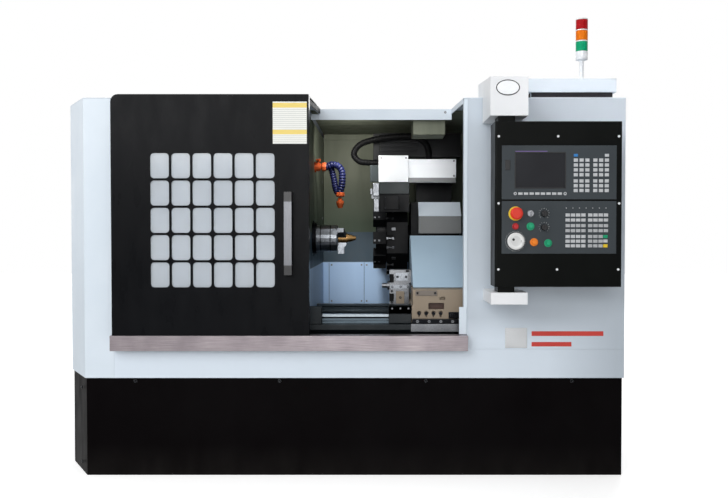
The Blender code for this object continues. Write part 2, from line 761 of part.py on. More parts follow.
def cross_feed(steel, dark, paint, iron):
    centre = (CROSS_X, CROSS_Z)
    bottom = SADDLE_TOP + GAP
    low = (CROSS_X - CROSS_MOTOR_HALF, CROSS_MOTOR_Y - CROSS_MOTOR_LENGTH, bottom)
    high = (CROSS_X + CROSS_MOTOR_HALF, CROSS_MOTOR_Y, bottom + 2 * CROSS_MOTOR_HALF)
    motor = solid("x_motor", block(low, high), dark)
    screw_end = SLIDE_BACK - OVERRUN
    screw_shape = rod("Y", centre, CROSS_RADIUS, CROSS_MOTOR_Y + GAP, screw_end, 16)
    screw = solid("x_screw", screw_shape, steel, (CROSS_X, 0, CROSS_Z), True)
    low = (SLIDE_LEFT, SLIDE_FRONT, bottom)
    slide = solid("cross_slide", block(low, (SLIDE_RIGHT, SLIDE_BACK, SLIDE_TOP)), iron)
    cut(slide, rod("Y", centre, bore_radius(CROSS_RADIUS), SLIDE_FRONT - OVERRUN, SLIDE_BACK + OVERRUN))
    edge = APRON_TOP + 2 * RUNNING_GAP
    outer = [
        (SLIDE_FRONT - GAP, COVER_TOP),
        (COVER_CREST, COVER_TOP),
        (COVER_FRONT, edge + SHEET),
    ]
    sheet = corner_sheet(outer, SHEET)
    cover = solid("slide_cover", prism(sheet, "X", COVER_LEFT, COVER_RIGHT), paint)
    cheek = [*outer, (SLIDE_FRONT - GAP, edge)]
    fuse(cover, prism(cheek, "X", COVER_LEFT, COVER_LEFT + SHEET))
    return motor, screw, slide, cover


# Turret

HOUSING_RIGHT = 0.520
HOUSING_BACK = 0.420
HOUSING_TOP = 1.066
COLUMN_LEFT = 0.330
COLUMN_FRONT = 0.220
LEDGE = 0.016
DISC_LEFT = 0.190
DISC_RIGHT = 0.285
DISC_FLAT = 0.170
DISC_HUB = 0.060
STATIONS = 8
BOX_LOW = (0.153, 0.000, 1.153)
BOX_HIGH = (0.284, 0.212, 1.270)
LONG_BOX_HIGH = (0.496, 0.212, 1.254)
LONG_BOX_BOTTOM = 1.172
DRIVE_LOW = (0.160, 0.130, 1.276)
DRIVE_HIGH = (0.530, 0.420, 1.385)


def turret_housing(dark, white):
    low = (SLIDE_LEFT, SLIDE_FRONT, SLIDE_TOP + GAP)
    housing = solid("turret_housing", block(low, (HOUSING_RIGHT, HOUSING_BACK, HOUSING_TOP)), dark)
    column_low = (COLUMN_LEFT, COLUMN_FRONT, HOUSING_TOP - OVERRUN)
    fuse(housing, block(column_low, (LONG_BOX_HIGH[0], HOUSING_BACK, DRIVE_LOW[2] + OVERRUN)))
    ledge_low = (COLUMN_LEFT, SLIDE_FRONT, LONG_BOX_BOTTOM - LEDGE)
    fuse(housing, block(ledge_low, (LONG_BOX_HIGH[0], HOUSING_BACK - OVERRUN, LONG_BOX_BOTTOM - GAP)))
    groove = 0.006
    pitch = 0.020
    grooves = []
    for n in range(4):
        bottom = DRIVE_LOW[2] + pitch * (n + 1)
        low = (DRIVE_LOW[0] - OVERRUN, DRIVE_LOW[1] - OVERRUN, bottom)
        grooves.append(block(low, (COLUMN_LEFT, DRIVE_LOW[1] + groove, bottom + groove)))
    fuse(housing, block(DRIVE_LOW, DRIVE_HIGH))
    cut(housing, together(grooves))
    socket = (HOUSING_RIGHT + SLIDE_LEFT) / 2
    cut(housing, rod("X", TURRET, bore_radius(DISC_HUB), SLIDE_LEFT - OVERRUN, socket))
    cover = solid("turret_cover", block(BOX_LOW, BOX_HIGH), white)
    long_low = (BOX_HIGH[0] - SHEET, BOX_LOW[1] + OVERRUN, LONG_BOX_BOTTOM)
    fuse(cover, block(long_low, LONG_BOX_HIGH))
    return housing, cover


def octagon(flat):
    corner = flat / math.cos(math.pi / STATIONS)
    turns = [2 * math.pi * (n + 0.5) / STATIONS for n in range(STATIONS)]
    return [(TURRET_Y + corner * math.cos(t), SPINDLE_Z + corner * math.sin(t)) for t in turns]


def turret_disc(steel, tool_steel):
    pivot = (0, *TURRET)
    disc = solid("turret_disc", prism(octagon(DISC_FLAT), "X", DISC_LEFT, DISC_RIGHT), steel, pivot)
    cap = 0.015
    shaft_end = (HOUSING_RIGHT + SLIDE_LEFT) / 2 - GAP
    fuse(disc, rod("X", TURRET, DISC_HUB, DISC_LEFT - cap, shaft_end))
    pocket_half = 0.011
    pocket_depth = 0.030
    pocket_low = (DISC_LEFT - OVERRUN, TURRET_Y + DISC_FLAT - pocket_depth, SPINDLE_Z - pocket_half)
    pocket_high = (DISC_LEFT + pocket_depth, TURRET_Y + DISC_FLAT + OVERRUN, SPINDLE_Z + pocket_half)
    pockets = []
    for n in range(STATIONS):
        turn = 2 * math.pi * n / STATIONS
        pockets.append(rotated(block(pocket_low, pocket_high), "X", TURRET, turn))
    cut(disc, together(pockets))
    holder_height = 0.044
    holder_half = 0.034
    margin = 0.010
    low = (DISC_LEFT + margin, TURRET_Y + DISC_FLAT + GAP, SPINDLE_Z - holder_half)
    high = (DISC_RIGHT, TURRET_Y + DISC_FLAT + holder_height, SPINDLE_Z + holder_half)
    top = math.radians(90)
    shank_half = 0.010
    tip = 0.119
    shank_high = (high[0] - margin, high[1] - margin, SPINDLE_Z + shank_half)
    shank_low = (tip, shank_high[1] - 2 * shank_half, SPINDLE_Z - shank_half)
    clamp_high = (high[0], high[1] - 2 * margin, high[2])
    tool = solid("turning_tool", rotated(block(low, clamp_high), "X", TURRET, top), tool_steel, pivot)
    fuse(tool, rotated(block(shank_low, shank_high), "X", TURRET, top))
    return disc, tool


TOOL_BLOCK_LOW = (0.200, -0.100, 0.612)
TOOL_BLOCK_HIGH = (COVER_LEFT - GAP, -0.002, 0.768)
TOOL_BLOCK_STEP = (0.2835, 0.712)


def boring_block(tool_steel):
    """A fixed tool block on the cover's left cheek, stepped to pass the saddle, with a boring bar."""
    low = TOOL_BLOCK_LOW
    high = TOOL_BLOCK_HIGH
    side = [
        (low[0], low[2]),
        (TOOL_BLOCK_STEP[0], low[2]),
        TOOL_BLOCK_STEP,
        (high[0], TOOL_BLOCK_STEP[1]),
        (high[0], high[2]),
        (low[0], high[2]),
    ]
    tool_block = solid("boring_tool", prism(side, "Y", low[1], high[1]), tool_steel)
    bar = 0.010
    collar = 0.018
    collar_width = 0.009
    reach = 0.032
    bar_z = 0.698
    centre = (low[1] + 2 * collar, bar_z)
    fuse(tool_block, rod("X", centre, collar, low[0] - collar_width, low[0] + OVERRUN))
    fuse(tool_block, rod("X", centre, bar, low[0] - reach, low[0] + collar, 16))
    pocket_width = 0.020
    pocket_depth = 0.016
    pockets = []
    for bottom, top in ((0.640, 0.664), (0.716, 0.742)):
        pocket_low = (low[0] - OVERRUN, low[1] - OVERRUN, bottom)
        pockets.append(block(pocket_low, (low[0] + pocket_width, low[1] + pocket_depth, top)))
    bolt_bore = 0.005
    bore_x = TOOL_BLOCK_STEP[0] - 2 * bolt_bore
    for z in (0.633, 0.668, 0.704):
        pockets.append(rod("Y", (bore_x, z), bolt_bore, low[1] - OVERRUN, low[1] + pocket_depth, 12))
    cut(tool_block, together(pockets))
    return tool_block


def conduit(rubber):
    radius = 0.0125
    y = 0.100
    start = BOX_LOW[0] - GAP
    route = [
        (start, y, 1.245),
        (start - 0.010, y, 1.245),
        (start - 0.020, y, 1.245),
        (start - 0.050, y, 1.248),
        (0.055, y, 1.257),
        (0.022, y, 1.287),
        (0.040, y, 1.323),
        (0.085, y, 1.342),
        (0.160, y, 1.356),
        (0.250, y, 1.366),
        (0.320, y, 1.362),
        (0.366, y, 1.335),
        (0.380, y, 1.300),
        (0.382, y, 1.274),
        (0.382, y, 1.264),
        (0.382, y, LONG_BOX_HIGH[2] + GAP),
    ]
    return tube("conduit", route, radius, rubber)


def carriage_group(iron, steel, dark, paint, white, tool_steel, rubber):
    body = saddle(iron)
    motor, screw, slide, cover = cross_feed(steel, dark, paint, iron)
    housing, box = turret_housing(dark, white)
    disc, tool = turret_disc(steel, tool_steel)
    tool_block = boring_block(tool_steel)
    lead = conduit(rubber)
    turret = carrier("turret_axis", (0, *TURRET), [disc, tool])
    screw_axis = carrier("x_screw_axis", (CROSS_X, 0, CROSS_Z), [screw])
    slide_pieces = [slide, cover, housing, box, tool_block, lead, turret]
    slide_axis = carrier("cross_slide_way", (CROSS_X, 0, SADDLE_TOP), slide_pieces)
    carrier("carriage_way", (CROSS_X, 0, BED_TOP), [body, motor, screw_axis, slide_axis])


# Coolant

VALVE_Y = 0.0
VALVE_Z = 1.219
VALVE_END = -0.098
NOZZLE_X = -0.018
NOZZLE_Z = 1.086


def coolant_line(orange, blue):
    radius = 0.018
    neck = 0.011
    stem = 0.005
    seat = VALVE_Z + radius + 0.006
    flange = 0.006
    profile = [
        (LINER_LEFT + GAP, 0),
        (LINER_LEFT + GAP, radius + flange),
        (LINER_LEFT + flange, radius + flange),
        (LINER_LEFT + flange, radius),
        (VALVE_END - flange, radius),
        (VALVE_END - flange, neck),
        (VALVE_END, neck),
        (VALVE_END, 0),
    ]
    valve = solid("coolant_valve", turned(profile, "X", (VALVE_Y, VALVE_Z), 16), orange, (0, 0, 0), True)
    lever_x = (LINER_LEFT + VALVE_END) / 2
    lever_length = 0.045
    lever_half = 0.006
    lever_top = seat + 0.010
    fuse(valve, rod("Z", (lever_x, VALVE_Y), stem, VALVE_Z, seat - GAP, 16))
    pivot = (lever_x, VALVE_Y, seat)
    hub = rod("Z", (lever_x, VALVE_Y), 2 * stem, seat, lever_top, 16)
    lever = solid("valve_lever", hub, orange, pivot, True)
    low = (lever_x - lever_half, VALVE_Y - lever_length, seat + stem / 2)
    fuse(lever, block(low, (lever_x + lever_half, VALVE_Y, lever_top - stem / 2)))
    carrier("valve_lever_axis", pivot, [lever])
    route = [
        (VALVE_END + GAP, VALVE_Y, VALVE_Z),
        (VALVE_END + 0.008, VALVE_Y, VALVE_Z),
        (VALVE_END + 0.016, VALVE_Y, VALVE_Z),
        (-0.070, VALVE_Y, 1.223),
        (-0.052, VALVE_Y, 1.229),
        (-0.026, VALVE_Y, 1.222),
        (-0.010, VALVE_Y, 1.199),
        (-0.008, VALVE_Y, 1.168),
        (-0.010, VALVE_Y, 1.139),
        (-0.014, VALVE_Y, 1.122),
        (NOZZLE_X, VALVE_Y, NOZZLE_Z + 0.020),
        (NOZZLE_X, VALVE_Y, NOZZLE_Z + 0.010),
        (NOZZLE_X, VALVE_Y, NOZZLE_Z),
    ]
    hose = tube("coolant_hose", route, 0.014, blue)
    nozzle_length = 0.049
    tip = 0.005
    collar = 0.017
    ball = 0.011
    collar_drop = 0.006
    centre_z = NOZZLE_Z - GAP - ball
    steps = 4
    turns = [math.pi / 2 * n / steps for n in range(steps + 1)]
    profile = [(centre_z + ball * math.cos(t), ball * math.sin(t)) for t in turns]
    profile[0] = (centre_z + ball, 0)
    profile += [
        (centre_z - collar_drop, ball),
        (centre_z - collar_drop, collar),
        (centre_z - collar, collar),
        (NOZZLE_Z - nozzle_length, 2 * tip),
        (NOZZLE_Z - nozzle_length, tip),
        (centre_z - collar, tip),
        (centre_z - collar, 0),
    ]
    pivot = (NOZZLE_X, VALVE_Y, centre_z)
    nozzle = solid("coolant_nozzle", turned(profile, "Z", (NOZZLE_X, VALVE_Y), 16), orange, pivot, True)
    tilt = carrier("nozzle_axis", pivot, [nozzle])
    carrier("hose_axis", (VALVE_END, VALVE_Y, VALVE_Z), [hose, tilt])


# Door

DOOR_LEFT = -0.848
DOOR_RIGHT = -0.107
DOOR_TOP = BODY_HEIGHT + 0.0057
DOOR_BOTTOM = SILL_TOP + GAP
DOOR_CORNER = 0.028
WINDOW_COLUMNS = 6
WINDOW_ROWS = 5
WINDOW_WIDTH = 0.070
WINDOW_HEIGHT = 0.0936
WINDOW_PITCH_X = 0.079
WINDOW_PITCH_Z = 0.1022
WINDOW_CORNER = 0.013
WINDOW_FIRST_X = -0.7005
WINDOW_FIRST_Z = 1.226
FLANGE_BACK = -0.205
HANDLE_INSET = 0.074
HANDLE_X = DOOR_RIGHT - HANDLE_INSET
HANDLE_WIDTH = 0.028
HANDLE_LOW = 0.772
HANDLE_HIGH = 1.079


def door_outline(inset):
    """The door's face, with only its top-left corner round."""
    steps = 5
    left = DOOR_LEFT + inset
    right = DOOR_RIGHT - inset
    bottom = DOOR_BOTTOM + inset
    top = DOOR_TOP - inset
    radius = DOOR_CORNER - inset
    outline = [(left, bottom), (right, bottom), (right, top)]
    for n in range(steps + 1):
        turn = math.pi / 2 * (1 + n / steps)
        outline.append((left + radius + radius * math.cos(turn), top - radius + radius * math.sin(turn)))
    return outline


def window_shapes(start, end, grow):
    """The window openings as prisms, each grown on all sides."""
    shapes = []
    for column in range(WINDOW_COLUMNS):
        for row in range(WINDOW_ROWS):
            left = WINDOW_FIRST_X + column * WINDOW_PITCH_X
            top = WINDOW_FIRST_Z - row * WINDOW_PITCH_Z
            low = (left - grow, top - WINDOW_HEIGHT - grow)
            high = (left + WINDOW_WIDTH + grow, top + grow)
            shapes.append(prism(rounded(low, high, WINDOW_CORNER + grow), "Y", start, end))
    return shapes


def sliding_door(black, clear, bright):
    end = DOOR_SKIN_Y + DOOR_THICKNESS
    door = solid("door_panel", prism(door_outline(0), "Y", DOOR_SKIN_Y, end), black)
    inner = prism(door_outline(SHEET), "Y", DOOR_SKIN_Y + SHEET, end + OVERRUN)
    low = (DOOR_LEFT + DOOR_CORNER, end - SHEET, DOOR_TOP - SHEET)
    flange = block(low, (DOOR_RIGHT, FLANGE_BACK, DOOR_TOP))
    lip_low = (low[0], FLANGE_BACK - SHEET, BODY_HEIGHT + GAP)
    lip = block(lip_low, (DOOR_RIGHT, FLANGE_BACK, DOOR_TOP - SHEET / 2))
    cut(door, inner)
    fuse(door, flange, lip)
    cut(door, together(window_shapes(DOOR_SKIN_Y - OVERRUN, DOOR_SKIN_Y + SHEET + OVERRUN, 0)))
    border = 0.030
    pane_right = WINDOW_FIRST_X + (WINDOW_COLUMNS - 1) * WINDOW_PITCH_X + WINDOW_WIDTH + border
    pane_bottom = WINDOW_FIRST_Z - (WINDOW_ROWS - 1) * WINDOW_PITCH_Z - WINDOW_HEIGHT - border
    pane_front = DOOR_SKIN_Y + SHEET + GAP
    low = (WINDOW_FIRST_X - border, pane_front, pane_bottom)
    high = (pane_right, pane_front + 2 * SHEET, WINDOW_FIRST_Z + border)
    pane = solid("door_window", block(low, high), clear)
    mount_height = 0.036
    reach = 0.050
    bar_thickness = 0.010
    face = DOOR_SKIN_Y - GAP
    half = HANDLE_WIDTH / 2
    low = (HANDLE_X - half, face - reach, HANDLE_LOW)
    bar_high = (HANDLE_X + half, face - reach + bar_thickness, HANDLE_HIGH)
    handle = solid("door_handle", block(low, bar_high), bright)
    lower_mount = block(low, (HANDLE_X + half, face, HANDLE_LOW + mount_height))
    upper_low = (low[0], low[1], HANDLE_HIGH - mount_height)
    upper_mount = block(upper_low, (HANDLE_X + half, face, HANDLE_HIGH))
    fuse(handle, lower_mount, upper_mount)
    carrier("door_way", (HANDLE_X, DOOR_SKIN_Y, SILL_TOP), [door, pane, handle])


# Pendant

ARM_INSET = 0.543
ARM_WIDTH = 0.134
ARM_LEFT = RIGHT - ARM_INSET
ARM_RIGHT = ARM_LEFT + ARM_WIDTH
SWIVEL_INSET = 0.060
SWIVEL_X = ARM_LEFT + SWIVEL_INSET
SWIVEL_Y = -0.660
SWIVEL_RADIUS = 0.030
BOX_FRONT = -0.715
BOX_DEPTH = 0.115
BOX_INSET = 0.0177
BOX_WIDTH = 0.448
BOX_LEFT = ARM_LEFT + BOX_INSET
BOX_RIGHT = BOX_LEFT + BOX_WIDTH
BOX_BOTTOM = 0.737
BOX_TOP = 1.3208
BOX_WALL = 0.003
SWIVEL_HEIGHT = 0.020
PANEL_INSET = 0.0233
PANEL_WIDTH = 0.4035
PANEL_LEFT = BOX_LEFT + PANEL_INSET
PANEL_RIGHT = PANEL_LEFT + PANEL_WIDTH
PANEL_THICK = 0.003
UPPER_PANEL = (1.0464, 1.2355)
LOWER_PANEL = (0.8548, 1.0400)
SCREEN_INSET = 0.0483
SCREEN_WIDTH = 0.1732
SCREEN_LOW = (PANEL_LEFT + SCREEN_INSET, 1.0880)
SCREEN_HIGH = (SCREEN_LOW[0] + SCREEN_WIDTH, 1.2086)


def pendant_mounts(white):
    bottom = BOX_TOP + SWIVEL_HEIGHT + GAP
    back = -0.374
    back_top = BODY_HEIGHT + 0.072
    front_top = BODY_HEIGHT + 0.038
    side = [
        (BOX_FRONT, bottom),
        (FRONT - SHEET, bottom),
        (FRONT - SHEET, BODY_HEIGHT + GAP),
        (back, BODY_HEIGHT + GAP),
        (back, back_top),
        (BOX_FRONT, front_top),
    ]
    solid("pendant_arm", prism(side, "X", ARM_LEFT, ARM_RIGHT), white)
    top = BOX_BOTTOM - SWIVEL_HEIGHT - GAP
    height = 0.042
    low = (ARM_LEFT + OVERRUN, BOX_FRONT, top - height)
    solid("lower_bracket", block(low, (ARM_RIGHT, FRONT - GAP, top)), white)


def pendant_box(black):
    pivot = (SWIVEL_X, SWIVEL_Y, BOX_BOTTOM)
    back = BOX_FRONT + BOX_DEPTH
    outline = rounded((BOX_LEFT, BOX_FRONT), (BOX_RIGHT, back), 2 * BOX_WALL)
    box = solid("pendant_box", prism(outline, "Z", BOX_BOTTOM, BOX_TOP), black, pivot)
    low = (BOX_LEFT + BOX_WALL, BOX_FRONT + BOX_WALL, BOX_BOTTOM + BOX_WALL)
    high = (BOX_RIGHT - BOX_WALL, back - BOX_WALL, BOX_TOP - BOX_WALL)
    cut(box, block(low, high))
    ledge = 0.012
    windows = []
    for bottom, top in (UPPER_PANEL, LOWER_PANEL):
        low = (PANEL_LEFT + ledge, BOX_FRONT - OVERRUN, bottom + ledge)
        high = (PANEL_RIGHT - ledge, BOX_FRONT + BOX_WALL + OVERRUN, top - ledge)
        windows.append(block(low, high))
    cut(box, together(windows))
    block_half = 0.045
    for start, end in (
        (BOX_TOP - BOX_WALL, BOX_TOP + SWIVEL_HEIGHT),
        (BOX_BOTTOM - SWIVEL_HEIGHT, BOX_BOTTOM + BOX_WALL),
    ):
        low = (SWIVEL_X - SWIVEL_RADIUS, SWIVEL_Y - block_half)
        high = (SWIVEL_X + SWIVEL_RADIUS, SWIVEL_Y + block_half)
        fuse(box, prism(rounded(low, high, 2 * BOX_WALL), "Z", start, end))
    return box


PANEL_FACE = BOX_FRONT - GAP - PANEL_THICK
CONTROL_X = (PANEL_LEFT + 0.0485, PANEL_LEFT + 0.1010, PANEL_LEFT + 0.1490)
CONTROL_Z = (LOWER_PANEL[1] - 0.0440, LOWER_PANEL[1] - 0.0890, LOWER_PANEL[1] - 0.1410)
STEM_DEPTH = 0.012


def control(name, place, stem, head, colour, sides=16):
    """A turned control: its stem through the panel, then (out from the face, radius) points."""
    profile = [(PANEL_FACE + PANEL_THICK + STEM_DEPTH, 0), (PANEL_FACE + PANEL_THICK + STEM_DEPTH, stem)]
    profile.append((PANEL_FACE - head[0][0], stem))
    profile += [(PANEL_FACE - out, radius) for out, radius in head]
    profile.append((PANEL_FACE - head[-1][0], 0))
    pivot = (place[0], PANEL_FACE, place[1])
    piece = solid(name, turned(profile, "Y", place, sides), colour, pivot, True)
    return piece, carrier(name + "_axis", pivot, [piece])


def panel_controls(red, green, orange, black, white, chrome):
    button_stem = 0.0065
    button_head = [(0.005, 0.0085), (0.0095, 0.0085), (0.0105, 0.0075)]
    stop_head = [(0.014, 0.012), (0.020, 0.022), (0.027, 0.022), (0.031, 0.016)]
    knob_head = [(0.001, 0.0115), (0.015, 0.0105), (0.016, 0.0095)]
    key_head = [(0.001, 0.011), (0.006, 0.011)]
    wheel_head = [(0.001, 0.018), (0.006, 0.030), (0.013, 0.030), (0.016, 0.026), (0.014, 0.012)]
    first, second, third = CONTROL_X
    top, middle, low = CONTROL_Z
    button_drop = 0.0035
    places = {
        "emergency_stop": (first, top),
        "key_switch": (second, top),
        "feed_knob": (third, top),
        "speed_knob": (third, middle - button_drop),
        "red_button": (first, middle),
        "green_button": (second, middle),
        "handwheel": (first, low),
        "orange_button": (second + 0.0126, low - button_drop),
        "coolant_button": (third + 0.0143, low - 2 * button_drop),
    }
    axes = []
    for name, head, colour in (
        ("red_button", button_head, red),
        ("green_button", button_head, green),
        ("orange_button", button_head, orange),
        ("coolant_button", button_head, green),
        ("emergency_stop", stop_head, red),
    ):
        axes.append(control(name, places[name], button_stem, head, colour)[1])
    blade_half = 0.0025
    blade_out = REACH_FRONT + 0.012
    for name in ("feed_knob", "speed_knob"):
        knob, axis = control(name, places[name], button_stem, knob_head, black)
        x, z = places[name]
        low_corner = (x - blade_half, blade_out, z - knob_head[1][1])
        fuse(knob, block(low_corner, (x + blade_half, PANEL_FACE - blade_half, z + knob_head[1][1])))
        axes.append(axis)
    key, axis = control("key_switch", places["key_switch"], button_stem, key_head, chrome)
    x, z = places["key_switch"]
    bow = 0.007
    key_out = PANEL_FACE - key_head[1][0]
    bow_low = (x - blade_half / 2, key_out - 3 * bow, z - bow)
    fuse(key, block(bow_low, (x + blade_half / 2, key_out + bow / 2, z + bow)))
    axes.append(axis)
    wheel, axis = control("handwheel", places["handwheel"], button_stem, wheel_head, white, SIDES)
    x, z = places["handwheel"]
    grip = 0.005
    grip_out = 0.020
    fuse(wheel, rod("Y", (x + grip_out, z), grip, REACH_FRONT, PANEL_FACE - 2 * grip, 12))
    axes.append(axis)
    return axes, places, button_stem


def operator_panels(grey, glass, places, stem):
    low = (PANEL_LEFT, PANEL_FACE, UPPER_PANEL[0])
    upper = solid("upper_panel", block(low, (PANEL_RIGHT, BOX_FRONT - GAP, UPPER_PANEL[1])), grey)
    hole_low = (SCREEN_LOW[0] - GAP, PANEL_FACE - OVERRUN, SCREEN_LOW[1] - GAP)
    hole_high = (SCREEN_HIGH[0] + GAP, BOX_FRONT + OVERRUN, SCREEN_HIGH[1] + GAP)
    cut(upper, block(hole_low, hole_high))
    bezel_step = 0.001
    screen_low = (SCREEN_LOW[0], PANEL_FACE + bezel_step, SCREEN_LOW[1])
    screen_high = (SCREEN_HIGH[0], BOX_FRONT + BOX_WALL, SCREEN_HIGH[1])
    screen = solid("screen", block(screen_low, screen_high), glass)
    low = (PANEL_LEFT, PANEL_FACE, LOWER_PANEL[0])
    lower = solid("lower_panel", block(low, (PANEL_RIGHT, BOX_FRONT - GAP, LOWER_PANEL[1])), grey)
    radius = bore_radius(stem)
    ends = (PANEL_FACE - OVERRUN, BOX_FRONT + OVERRUN)
    cut(lower, together([rod("Y", place, radius, *ends, 16) for place in places.values()]))
    return upper, lower, screen


# Signal tower

TOWER_INSET = 0.0806
TOWER_X = RIGHT - TOWER_INSET
TOWER_Y = -0.155
TOWER_RADIUS = 0.025
TOWER_POLE = 0.135
TOWER_BASE = HOOD_HIGH[2] + TOWER_POLE
TOWER_LENS = 0.040
TOWER_RING = 0.0055


def signal_tower(white, green, amber, red):
    foot = 0.035
    pole = 0.009
    plate = 0.006
    lens_top = TOWER_BASE + TOWER_LENS
    profile = [
        (HOOD_HIGH[2] + GAP, 0),
        (HOOD_HIGH[2] + GAP, foot),
        (HOOD_HIGH[2] + plate, foot),
        (HOOD_HIGH[2] + plate, pole),
        (TOWER_BASE, pole),
        (TOWER_BASE + plate, TOWER_RADIUS),
        (lens_top, TOWER_RADIUS),
        (lens_top, 0),
    ]
    centre = (TOWER_X, TOWER_Y)
    solid("tower_base", turned(profile, "Z", centre, 16), white, (0, 0, 0), True)
    inner = TOWER_RADIUS - TOWER_RING / 2
    for name, colour in (("lens_green", green), ("lens_amber", amber), ("lens_red", red)):
        bottom = lens_top + GAP
        lens_top = bottom + TOWER_LENS + TOWER_RING
        profile = [
            (bottom, 0),
            (bottom, TOWER_RADIUS),
            (bottom + TOWER_LENS, TOWER_RADIUS),
            (bottom + TOWER_LENS, inner),
            (lens_top, inner),
            (lens_top, 0),
        ]
        solid(name, turned(profile, "Z", centre, 16), colour, (0, 0, 0), True)


def build():
    for old in list(bpy.data.objects):
        bpy.data.objects.remove(old)
    body_paint = finish("body_paint", (0.60, 0.68, 0.76), 0.35, 0)
    black_paint = finish("black_paint", (0.010, 0.008, 0.009), 0.35, 0)
    white_paint = finish("white_paint", (0.85, 0.87, 0.88), 0.4, 0)
    liner_paint = finish("liner_paint", (0.24, 0.28, 0.30), 0.5, 0)
    casting = finish("casting_paint", (0.48, 0.38, 0.28), 0.55, 0)
    bright_steel = finish("bright_steel", (0.60, 0.62, 0.64), 0.25, 1)
    brushed = finish("brushed_stainless", (0.45, 0.44, 0.45), 0.35, 1)
    dark_casting = finish("dark_casting", (0.035, 0.037, 0.040), 0.5, 0.3)
    cover_paint = finish("cover_paint", (0.45, 0.56, 0.65), 0.45, 0)
    brass = finish("brass", (0.60, 0.40, 0.16), 0.3, 1)
    rubber = finish("black_rubber", (0.015, 0.015, 0.016), 0.6, 0)
    blue = finish("blue_plastic", (0.015, 0.025, 0.12), 0.4, 0)
    orange = finish("orange_plastic", (0.55, 0.12, 0.03), 0.4, 0)
    red = finish("red_plastic", (0.50, 0.02, 0.02), 0.35, 0)
    green = finish("green_plastic", (0.01, 0.30, 0.20), 0.35, 0)
    amber = finish("amber_plastic", (0.70, 0.28, 0.05), 0.35, 0)
    panel_grey = finish("panel_grey", (0.065, 0.078, 0.089), 0.45, 0)
    glass = finish("clear_pane", (0.80, 0.83, 0.85), 0.08, 0)
    dark_glass = finish("screen_glass", (0.012, 0.012, 0.016), 0.1, 0)
    chrome = finish("handle_chrome", (0.55, 0.56, 0.58), 0.2, 1)

    base_plinth(black_paint)
    bed_casting(casting)
    guide_rails(bright_steel)
    feed_screw(bright_steel, dark_casting)
    cabinets(body_paint)
    roof_panel(body_paint)
    sill_strip(brushed)
    work_liner(liner_paint)
    headstock(dark_casting)
    spindle_group(dark_casting, bright_steel, brass)
    spindle_drive(dark_casting, bright_steel, rubber)
    carriage_group(casting, bright_steel, dark_casting, cover_paint, white_paint, brushed, rubber)
    coolant_line(orange, blue)
    sliding_door(black_paint, glass, chrome)
    pendant_mounts(white_paint)
    box = pendant_box(black_paint)
    axes, places, stem = panel_controls(red, green, orange, black_paint, white_paint, chrome)
    panels = operator_panels(panel_grey, dark_glass, places, stem)
    carrier("pendant_axis", (SWIVEL_X, SWIVEL_Y, BOX_BOTTOM), [box, *panels, *axes])
    signal_tower(white_paint, green, amber, red)


build()
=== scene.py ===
"""The looks of a CNC turning lathe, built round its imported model. Metres, +Z up, -Y to the operator."""

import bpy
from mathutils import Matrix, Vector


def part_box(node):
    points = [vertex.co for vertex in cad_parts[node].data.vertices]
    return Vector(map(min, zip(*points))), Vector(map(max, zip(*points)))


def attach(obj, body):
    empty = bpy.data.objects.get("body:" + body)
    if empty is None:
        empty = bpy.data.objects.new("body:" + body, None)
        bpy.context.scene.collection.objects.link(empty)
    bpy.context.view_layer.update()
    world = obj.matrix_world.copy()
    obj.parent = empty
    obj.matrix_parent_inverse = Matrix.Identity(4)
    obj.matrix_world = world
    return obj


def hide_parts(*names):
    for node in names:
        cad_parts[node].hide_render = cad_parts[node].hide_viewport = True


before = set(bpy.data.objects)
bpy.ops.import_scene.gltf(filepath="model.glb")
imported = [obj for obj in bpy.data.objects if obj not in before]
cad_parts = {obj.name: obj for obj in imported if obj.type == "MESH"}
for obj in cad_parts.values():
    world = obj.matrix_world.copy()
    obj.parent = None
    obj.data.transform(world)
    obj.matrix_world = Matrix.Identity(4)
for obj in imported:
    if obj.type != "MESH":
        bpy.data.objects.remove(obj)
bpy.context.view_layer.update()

import math

import bmesh
import bpy
from mathutils import Matrix, Vector

scene = bpy.context.scene

# The studio: a camera at the operator's eye, a little left of the doorway, soft lamps to the left,
# the right and above, and a pale floor that runs on into a white room.


def screen_colour(red, green, blue):
    """A colour given as a screen shows it, from 0 to 255, in the values that a shader takes."""
    shares = (red / 255, green / 255, blue / 255)
    return (*[((s + 0.055) / 1.055) ** 2.4 if s > 0.04045 else s / 12.92 for s in shares], 1)


def add(tree, kind, inputs=None, **settings):
    """A new node. Its inputs are values, outputs, or other nodes, whose first output is taken."""
    node = tree.nodes.new(kind)
    for name, value in settings.items():
        setattr(node, name, value)
    for socket, value in (inputs or {}).items():
        if isinstance(value, bpy.types.Node):
            value = value.outputs[0]
        if isinstance(value, bpy.types.NodeSocket):
            tree.links.new(value, node.inputs[socket])
        else:
            node.inputs[socket].default_value = value
    return node


def maths(operation, first, *others):
    """A sum on an output of another node and on what else it takes, in that node's tree."""
    inputs = dict(enumerate((first, *others)))
    return add(first.id_data, "ShaderNodeMath", inputs, operation=operation).outputs[0]


camera_data = bpy.data.cameras.new("camera")
camera_data.sensor_width = 36
camera_data.lens = 39.02
camera_data.shift_x = -0.022
camera = bpy.data.objects.new("camera", camera_data)
camera.location = (0.159, -3.5, 0.931)
camera.rotation_euler = (math.radians(90 - 1.23), 0, 0)
scene.collection.objects.link(camera)
scene.camera = camera

scene.view_settings.view_transform = "Standard"


def lamp(name, place, aim, size, watts, colour=(1, 1, 1), spread=180):
    data = bpy.data.lights.new(name, "AREA")
    data.spread = math.radians(spread)
    data.size = size
    data.energy = watts
    data.color = colour
    holder = bpy.data.objects.new(name, data)
    holder.location = place
    holder.rotation_euler = (Vector(aim) - Vector(place)).to_track_quat("-Z", "Y").to_euler()
    scene.collection.objects.link(holder)


